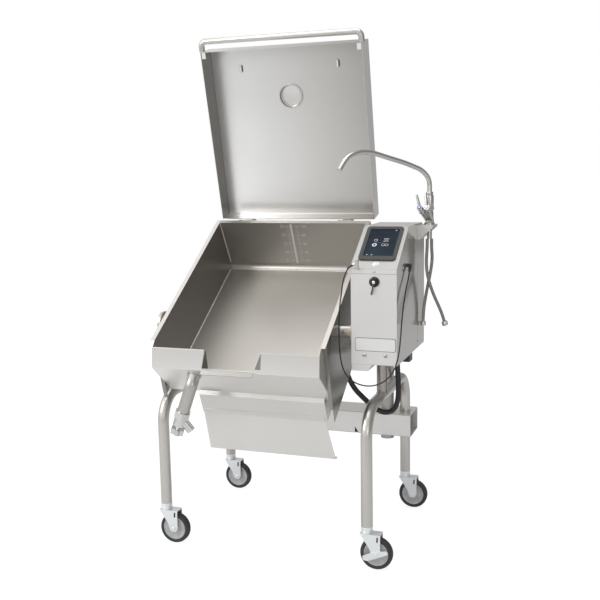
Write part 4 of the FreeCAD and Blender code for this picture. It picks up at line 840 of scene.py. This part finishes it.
def lid_point(x, v, n):
    """Point of the open lid, in metres, from its closed frame: v forwards from the hinge, n up."""
    x, v, n = np.broadcast_arrays(np.asarray(x, float), v, n)
    y = LID_HINGE[1] + MM * (-v * math.cos(LID_TURN) - n * math.sin(LID_TURN))
    z = LID_HINGE[2] + MM * (-v * math.sin(LID_TURN) + n * math.cos(LID_TURN))
    return np.stack([x * MM, y, z], axis=-1)


def plate_n(v):
    """Height of the lid plate's inner face, which rises towards the free edge."""
    return 111.7 + (np.asarray(v, float) - 10) * 24 / 738


LID_ACROSS = (1.0, 0.0, 0.0)
lid_up = lid_point(0, 1, 0) - lid_point(0, 0, 0)
lid_up /= np.linalg.norm(lid_up)
plate_in = -(lid_point(0, 0, 1) - lid_point(0, 0, 0))
plate_in /= np.linalg.norm(plate_in)
lid_steel = steel("lid_sheet", (0.93, 0.925, 0.91), 0.30, (8, 180, 180), 0.94)
# Painted light and shade on the lid sheet: the base colour runs from light at the left to darker at the right; the
# right wall's inner face is a bright stripe, a painted highlight; the left wall's inner face is a dark line, painted
# shade, and the wall past it a mid tone.
masked(lid_steel, (1.0, 0.0, 0.0), -0.02, 0.66, (0.50, 0.485, 0.46))
masked(lid_steel, (1.0, 0.0, 0.0), 0.3066, 0.0004, (0.95, 0.945, 0.93), 0.42)
masked(lid_steel, (-1.0, 0.0, 0.0), 0.3995, 0.0004, (0.17, 0.16, 0.15))
masked(lid_steel, (-1.0, 0.0, 0.0), 0.4006, 0.0004, (0.66, 0.65, 0.63))
bright_steel = steel("pressed_loop", (0.90, 0.90, 0.89), 0.3, (90, 90, 90), 0.6)
dress("lid_shell", lid_steel)
dress("lid_knuckles", plate_steel)
VENT_V = 533.0
disc_centre = lid_point(LID_MID, VENT_V, plate_n(VENT_V) - 0.3)
vent_cap = lathe("vent_plate", rounded([(0.0001, -0.0140), (0.0505, -0.0140), (0.0525, -0.0122), (0.0520, -0.0022),
                                        (0.0434, -0.0022), (0.0434, -0.0110), (0.0001, -0.0110)], 0.0008),
                 disc_centre, tuple(plate_in), lid_steel, 96)
placed(vent_cap, "lid", "sheet_steel", "vent_disc")
# Painted shade: the collar in the gap round the vent plate is dark sheet, standing for the shade in that gap.
vent_collar = lathe("vent_collar", [(0.0430, -0.0108), (0.0438, -0.0108), (0.0482, 0.0088), (0.0474, 0.0088),
                                    (0.0430, -0.0108)], disc_centre, tuple(plate_in), shaded_sheet_steel, 96, False)
placed(vent_collar, "lid", "sheet_steel")
vent_ring = lathe("vent_ring", [(0.0461, 0.0002), (0.0520, 0.0002), (0.0512, 0.0084), (0.0500, 0.0094),
                                (0.0486, 0.0092), (0.0478, 0.0080), (0.0461, 0.0002)], disc_centre, tuple(plate_in),
                  lid_steel, 96, False)
placed(vent_ring, "lid", "sheet_steel")
HANDLE_R = 0.01245
bar_n = LID_RIM + 13.5
bar_v = LID_LENGTH + 41
handle_line = arc_line([lid_point(LID_LEFT + 4, LID_LENGTH, bar_n), lid_point(LID_LEFT + 4, bar_v, bar_n),
                        lid_point(LID_RIGHT - 4, bar_v, bar_n), lid_point(LID_RIGHT - 4, LID_LENGTH, bar_n)],
                       [0.022, 0.022])
handle_steel = steel("handle_tube", (0.60, 0.585, 0.56), 0.28, (18, 260, 260), 0.96, 0.0008)
placed(tube("handle_bar", handle_line, HANDLE_R, 48, True, handle_steel), "lid", "tube_steel", "lid_handle")
for side, x in (("left", LID_LEFT + 4), ("right", LID_RIGHT - 4)):
    weld_bead("handle_weld_" + side, lid_point(x, LID_LENGTH + 1, bar_n + 0.6), tuple(lid_up), HANDLE_R, "lid",
              bead_steel, 0.0012)
for side, x in (("left", LID_MID - 218), ("right", LID_MID + 218)):
    loop = extruded("lid_loop_" + side, round_rect(0.009, 0.034, 0.0042), lid_point(x, 658, plate_n(658) - 0.2),
                    LID_ACROSS, lid_up, plate_in, 0.0075, bright_steel, 0.002)
    placed(loop, "lid", "sheet_steel")
    # Painted shadow: a thin black strip along each loop's right side stands for the shadow there.
    loop_shadow = extruded("lid_loop_shadow_" + side, round_rect(0.0035, 0.028, 0.0016), lid_point(x + 6.6, 658, plate_n(658) - 0.2),
                    LID_ACROSS, lid_up, plate_in, 0.0012, fork_black, 0.0004)
    placed(loop_shadow, "lid", "sheet_steel")
for side, x in (("left", LID_LEFT + 13), ("right", LID_RIGHT - 13)):
    tab = extruded("lid_tab_" + side, round_rect(0.018, 0.026, 0.002), lid_point(x, LID_LENGTH - 16, LID_RIM + 3),
                   LID_ACROSS, lid_up, plate_in, 0.002, bright_steel, 0.0006)
    placed(tab, "lid", "sheet_steel")

# Console: folded sheet housing with a sloping panel for the screen, key lock and start button. Its right side is
# polished, with a darker base colour that is painted shade, and a seam runs up it near the rear.
slope_low = np.array((0.0, -0.320, 1.151))
slope_dir = np.array((0.0, 0.200, 0.141)) / math.hypot(0.200, 0.141)
slope_out = np.array((0.0, -slope_dir[2], slope_dir[1]))
EAST = np.array((1.0, 0.0, 0.0))
SKY = np.array((0.0, 0.0, 1.0))
FRONTWARD = np.array((0.0, -1.0, 0.0))


def slope_point(across, along, lift=0.0):
    """Point over the sloping panel, in metres: across is world x and along runs up from its lower edge, in mm."""
    return slope_low + EAST * across * MM + slope_dir * along * MM + slope_out * lift * MM


console_steel = steel("console_sheet", (0.75, 0.74, 0.725), 0.38, (140, 140, 8), 0.8)
# Painted shade: the right side, past x = 0.5413 m, gets a darker base colour; its low roughness is the polish.
masked(console_steel, (1.0, 0.0, 0.0), 0.5413, 0.0006, (0.50, 0.475, 0.45), 0.14)
masked(console_steel, tuple(slope_out), float(np.dot(slope_low, slope_out)) - 0.0012, 0.0008, (0.42, 0.415, 0.405), 0.4)
dress("console_housing", console_steel)
dress("console_covers", console_steel)
bezel_black = soft_plastic("bezel_black", (0.045, 0.045, 0.045), 0.5)
dress("screen_bezel", bezel_black)
glass_blue, glass_tree, glass_shader = node_tree("screen_blue")
tint(glass_tree, grain(glass_tree, (9, 9, 9), 2.0), (0.004, 0.011, 0.020), (0.008, 0.024, 0.042),
     glass_shader.inputs["Base Color"])
spread(glass_tree, grain(glass_tree, (60, 60, 60)), 0.30, 0.36, glass_shader.inputs["Roughness"])
glass_shader.inputs["Specular IOR Level"].default_value = 0.12
dress("touch_screen", glass_blue)
icon_white = soft_plastic("icon_white", (0.75, 0.78, 0.80), 0.3, 200, 0.0)
icon_blue = soft_plastic("icon_blue", (0.03, 0.07, 0.35), 0.3, 200, 0.0)
GLASS_LIFT = 3.05


def flat_ring(name, across, along, radius, thick, material):
    """Symbol on the screen: ring of a given mean radius and width, 0.25 mm proud."""
    centre = slope_point(across, along, GLASS_LIFT)
    profile = [(radius - thick / 2, 0.0), (radius - thick / 2, 0.25), (radius + thick / 2, 0.25), (radius + thick / 2, 0.0)]
    return lathe(name, np.array(profile) * MM, centre, tuple(slope_out), material, 40, False)


def flat_bar(name, across, along, width, height, material, radius=0.8):
    """Symbol on the screen: rounded bar, 0.25 mm proud."""
    return extruded(name, round_rect(width * MM, height * MM, radius * MM), slope_point(across, along, GLASS_LIFT), EAST,
                    slope_dir, slope_out, 0.00025, material, 0.00005)


symbols = [flat_ring("symbol", 432, 157, 6.5, 1.4, icon_white), flat_ring("symbol", 431.5, 130, 7.0, 4.2, icon_white),
           flat_ring("symbol", 465, 130.5, 6.0, 1.4, icon_white), flat_ring("symbol", 478, 130.5, 6.0, 1.4, icon_white)]
for step in range(3):
    symbols.append(flat_bar("symbol", 471.7, 152 + step * 7, 20 - 3 * (step == 1), 2.2, icon_white))
for x in (414, 432):
    symbols.append(flat_bar("symbol", x, 74, 5, 3.4, icon_white))
symbols.append(flat_bar("symbol", 500, 216, 6, 4, icon_white))
placed(joined("screen_symbols", symbols), "root", "button_white")
placed(flat_bar("screen_line", 452, 143, 40, 1.6, icon_blue, 0.7), "root", "screen_glass")

white_plastic = soft_plastic("white_plastic", (0.82, 0.82, 0.80), 0.25, 300, 0.02)
dress("start_button", white_plastic)
button_ring = lathe("button_ring", rounded([(0.0093, 0.0), (0.0122, 0.0), (0.0118, 0.0016), (0.0093, 0.0018)], 0.0004),
                    slope_point(458, 24), tuple(slope_out), zinc, 48, False)
placed(button_ring, "root", "fastener_steel")

knob_black = soft_plastic("knob_black", (0.02, 0.02, 0.02), 0.38)
lock_black, lock_tree, lock_shader = node_tree("lock_black")
lock_shader.inputs["Metallic"].default_value = 0.4
tint(lock_tree, grain(lock_tree, (200, 200, 200)), (0.012, 0.012, 0.013), (0.03, 0.03, 0.032),
     lock_shader.inputs["Base Color"])
spread(lock_tree, grain(lock_tree, (80, 80, 80)), 0.18, 0.3, lock_shader.inputs["Roughness"])
lock_ring = lathe("lock_ring", rounded([(0.0121, 0.0101), (0.0128, 0.0101), (0.0150, 0.0066), (0.0190, 0.0048),
                                        (0.0190, 0.0), (0.0121, 0.0)], 0.0008)[::-1],
                  (0.458, -0.320, 1.102), (0, -1, 0), lock_black, 64, False)
placed(lock_ring, "root", "black_plastic")
dress("lock_barrel", lock_black)
key_dark = steel("key_blade", (0.10, 0.10, 0.105), 0.3, (120, 120, 120), 0.8)
KEY_TOP = np.array((0.4572, -0.3303, 1.1005))
KEY_TIP = np.array((0.4490, -0.3303, 1.0545))
key_down = (KEY_TIP - KEY_TOP) / np.linalg.norm(KEY_TIP - KEY_TOP)
key_side = np.cross(key_down, FRONTWARD)
key_outline = [(-0.0034, 0.0), (0.0034, 0.0), (0.0034, 0.014), (0.0022, 0.018), (0.0022, 0.030), (0.0031, 0.033),
               (0.0031, 0.044), (0.0016, 0.0467), (-0.0016, 0.0467), (-0.0031, 0.044), (-0.0031, 0.018), (-0.0034, 0.014)]
key_piece = extruded("key_shank", key_outline, KEY_TOP, key_side, key_down, FRONTWARD, 0.0024, key_dark, 0.0004)
placed(key_piece, "key", "fastener_steel", "lock_key")
key_bow = lathe("key_hub", rounded([(0.0001, 0.0034), (0.0042, 0.0034), (0.0060, 0.0022), (0.0060, 0.0)], 0.0006)[::-1],
                (0.458, -0.3326, 1.102), (0, -1, 0), zinc, 32)
placed(key_bow, "key", "fastener_steel")

plate_material = steel("bare_plate", (0.80, 0.795, 0.78), 0.42, (6, 140, 140), 0.35)
border_grey = soft_plastic("plate_border", (0.16, 0.155, 0.15), 0.45)
PLATE = (0.4605, -0.3206, 0.868)
name_frame = extruded("plate_border_ring", round_rect(0.155, 0.050, 0.007), PLATE, EAST, SKY, FRONTWARD, 0.0012, border_grey,
                      0.0003)
placed(name_frame, "root", "label_plate")
name_blank = extruded("plate_blank", round_rect(0.1512, 0.0462, 0.0056), (PLATE[0], PLATE[1], PLATE[2]), EAST, SKY, FRONTWARD,
                      0.0016, plate_material, 0.0003)
placed(name_blank, "root", "label_plate", "name_plate")

screw_steel = steel("screw_head", (0.60, 0.60, 0.59), 0.26, (200, 200, 200), 0.95)


def screw(name, centre, outward, radius, turn):
    """Round screw: domed head with a straight slot across it, turned by an angle; the slot is a black bar, painted
    shade for its recess.
    """
    outward = np.asarray(outward, float)
    head = lathe(name, rounded([(0.0001, 0.62 * radius), (0.55 * radius, 0.55 * radius), (0.92 * radius, 0.26 * radius),
                                (radius, 0.0)], 0.1 * radius)[::-1], centre, tuple(outward), screw_steel, 32)
    side = np.cross(outward, SKY)
    across = math.cos(turn) * side + math.sin(turn) * SKY
    upward = np.cross(outward, across)
    slot = extruded(name + "_slot", round_rect(1.5 * radius, 0.26 * radius, 0.1 * radius),
                    np.asarray(centre) + outward * 0.5 * radius, across, upward, outward, 0.16 * radius, fork_black,
                    0.02 * radius)
    placed(slot, "root", "black_plastic")
    return placed(head, "root", "fastener_steel", "console_screws")


for number, (x, z, radius, turn) in enumerate(((0.419, 0.827, 0.0078, 0.1), (0.499, 0.827, 0.0078, 1.6),
                                               (0.458, 1.139, 0.0042, 0.7))):
    screw("front_screw_%d" % number, (x, -0.320, z), (0, -1, 0), radius, turn)
for number, (y, z) in enumerate(((-0.213, 1.144), (0.039, 0.818))):
    screw("side_screw_%d" % number, (0.542, y, z), (1, 0, 0), 0.0042, 0.3 + number)

seam_grey = soft_plastic("seam_shadow", (0.22, 0.21, 0.20), 0.6)
front_seam = extruded("front_seam", round_rect(0.1735, 0.0012, 0.0004), (0.455, -0.3199, 1.131), EAST, SKY, FRONTWARD,
                      0.0003, seam_grey, 0.0001)
side_seam = extruded("side_seam", round_rect(0.0014, 0.455, 0.0005), (0.5419, 0.038, 1.020), (0, 1, 0), SKY, EAST, 0.0003,
                     seam_grey, 0.0001)
for piece in (front_seam, side_seam):
    placed(piece, "root", "sheet_steel")

dress("tilt_gearmotor", zinc)
dress("control_board", knob_black)
dress("underside_glands", knob_black)
dress("probe_holder", handle_steel)
dress("probe_plug", knob_black)
sleeve_end = np.array((0.37982, -0.32856, 1.16414))
sleeve_dir = np.array(probe_route[1]) - np.array(probe_route[0])
sleeve_dir /= np.linalg.norm(sleeve_dir)
relief_profile = [(0.0001, -0.001), (0.0046, -0.001), (0.0046, 0.006), (0.0040, 0.012), (0.0034, 0.020), (0.0030, 0.026),
                  (0.0026, 0.026)]
strain = lathe("probe_strain_relief", rounded(relief_profile, 0.0006), sleeve_end, tuple(sleeve_dir), knob_black, 32, False)
placed(strain, "root", "black_plastic")

# Faucet: chrome plated brass body on a folded shelf, with two lever valves and a long swivel spout that is bent
# over the pan. The blue ring with a white middle is the plain index of the cold lever.
shelf_steel = steel("shelf_sheet", (0.74, 0.73, 0.71), 0.30, (90, 90, 90), 0.7)
dress("faucet_bracket", shelf_steel)
chrome = steel("chrome_plate", (0.50, 0.495, 0.48), 0.17, (30, 30, 30), 1.0, 0.001)
spout_steel = steel("spout_tube", (0.60, 0.59, 0.57), 0.2, (60, 60, 60), 0.97, 0.001)
for node in ("faucet_body", "tap_lever_cold", "tap_lever_hot"):
    dress(node, chrome)
RISER = np.array((0.579, 0.092, 0.0))
tip_dir = np.array((0.335 - 0.579, -0.338 - 0.092, 0.0))
tip_dir /= np.linalg.norm(tip_dir)
spout_profile = [(0, 1402.3), (0, 1466), (47, 1502), (142, 1530), (235, 1550), (328, 1571), (392, 1574), (455, 1556),
                 (494, 1509)]
runs = [RISER + tip_dir * along * MM + SKY * height * MM for along, height in spout_profile]
spans = [np.linalg.norm(b - a) for a, b in zip(runs, runs[1:])]
bends = []
for before, here, after, back, ahead in zip(runs, runs[1:], runs[2:], spans, spans[1:]):
    cosine = (before - here) @ (after - here) / back / ahead
    half_turn = (math.pi - math.acos(cosine)) / 2
    bends.append(0.45 * min(back, ahead) / math.tan(half_turn))
SPOUT_R = 0.0095
spout = tube("spout_tube", arc_line(runs, bends, 8), SPOUT_R, 40, True, spout_steel)
placed(spout, "spout_arm", "chrome", "spout")
collar = lathe("spout_collar", rounded([(0.0096, 0.0140), (0.0118, 0.0138), (0.0142, 0.0100), (0.0144, 0.0005),
                                        (0.0096, 0.0005)], 0.001)[::-1], RISER + SKY * 1.4023, (0, 0, 1), chrome, 48, False)
placed(collar, "spout_arm", "chrome")
tip = runs[-1]
tip_axis = (runs[-1] - runs[-2]) / np.linalg.norm(runs[-1] - runs[-2])
blue_ring = soft_plastic("index_blue", (0.03, 0.16, 0.62), 0.3, 300, 0.02)
for side, start, end, colour, body in (("cold", (0.572, 0.084, 1.308), (0.560, 0.007, 1.351), blue_ring, "cold_tap"),
                                       ("hot", (0.586, 0.090, 1.306), (0.584, 0.018, 1.351), chrome, "hot_tap")):
    axis = np.array(end) - np.array(start)
    axis /= np.linalg.norm(axis)
    index = lathe("index_" + side, rounded([(0.0001, 0.0024), (0.0052, 0.0022), (0.0078, 0.0008), (0.0080, 0.0)], 0.0006)[::-1],
                  np.array(end) + axis * 0.0143, tuple(axis), colour, 40)
    placed(index, body, "button_white")
    if side == "cold":
        middle = lathe("index_middle", rounded([(0.0001, 0.0011), (0.0034, 0.0010), (0.0042, 0.0)], 0.0004)[::-1],
                       np.array(end) + axis * 0.0163, tuple(axis), white_plastic, 32)
        placed(middle, body, "button_white")
    bonnet = lathe("bonnet_" + side, rounded([(0.0108, -0.022), (0.0130, -0.022), (0.0138, -0.018), (0.0138, -0.008),
                                              (0.0124, -0.004), (0.0108, -0.004)], 0.0008),
                   np.array(end), tuple(axis), chrome, 6, False)
    placed(bonnet, "root", "chrome")
sleeve = lathe("riser_sleeve", rounded([(0.0145, 0.0), (0.0168, 0.0), (0.0168, 0.043), (0.0145, 0.0435)], 0.0012),
               RISER + SKY * 1.358, (0, 0, 1), spout_steel, 48, False)
placed(sleeve, "root", "chrome")
for level_z, name in ((1.296, "low"), (1.350, "high")):
    nut = lathe("riser_nut_" + name, rounded([(0.0140, -0.007), (0.0180, -0.007), (0.0190, -0.005), (0.0190, 0.005),
                                              (0.0180, 0.007), (0.0140, 0.007)], 0.0008), RISER + SKY * level_z, (0, 0, 1),
                chrome, 6, False)
    placed(nut, "root", "chrome")
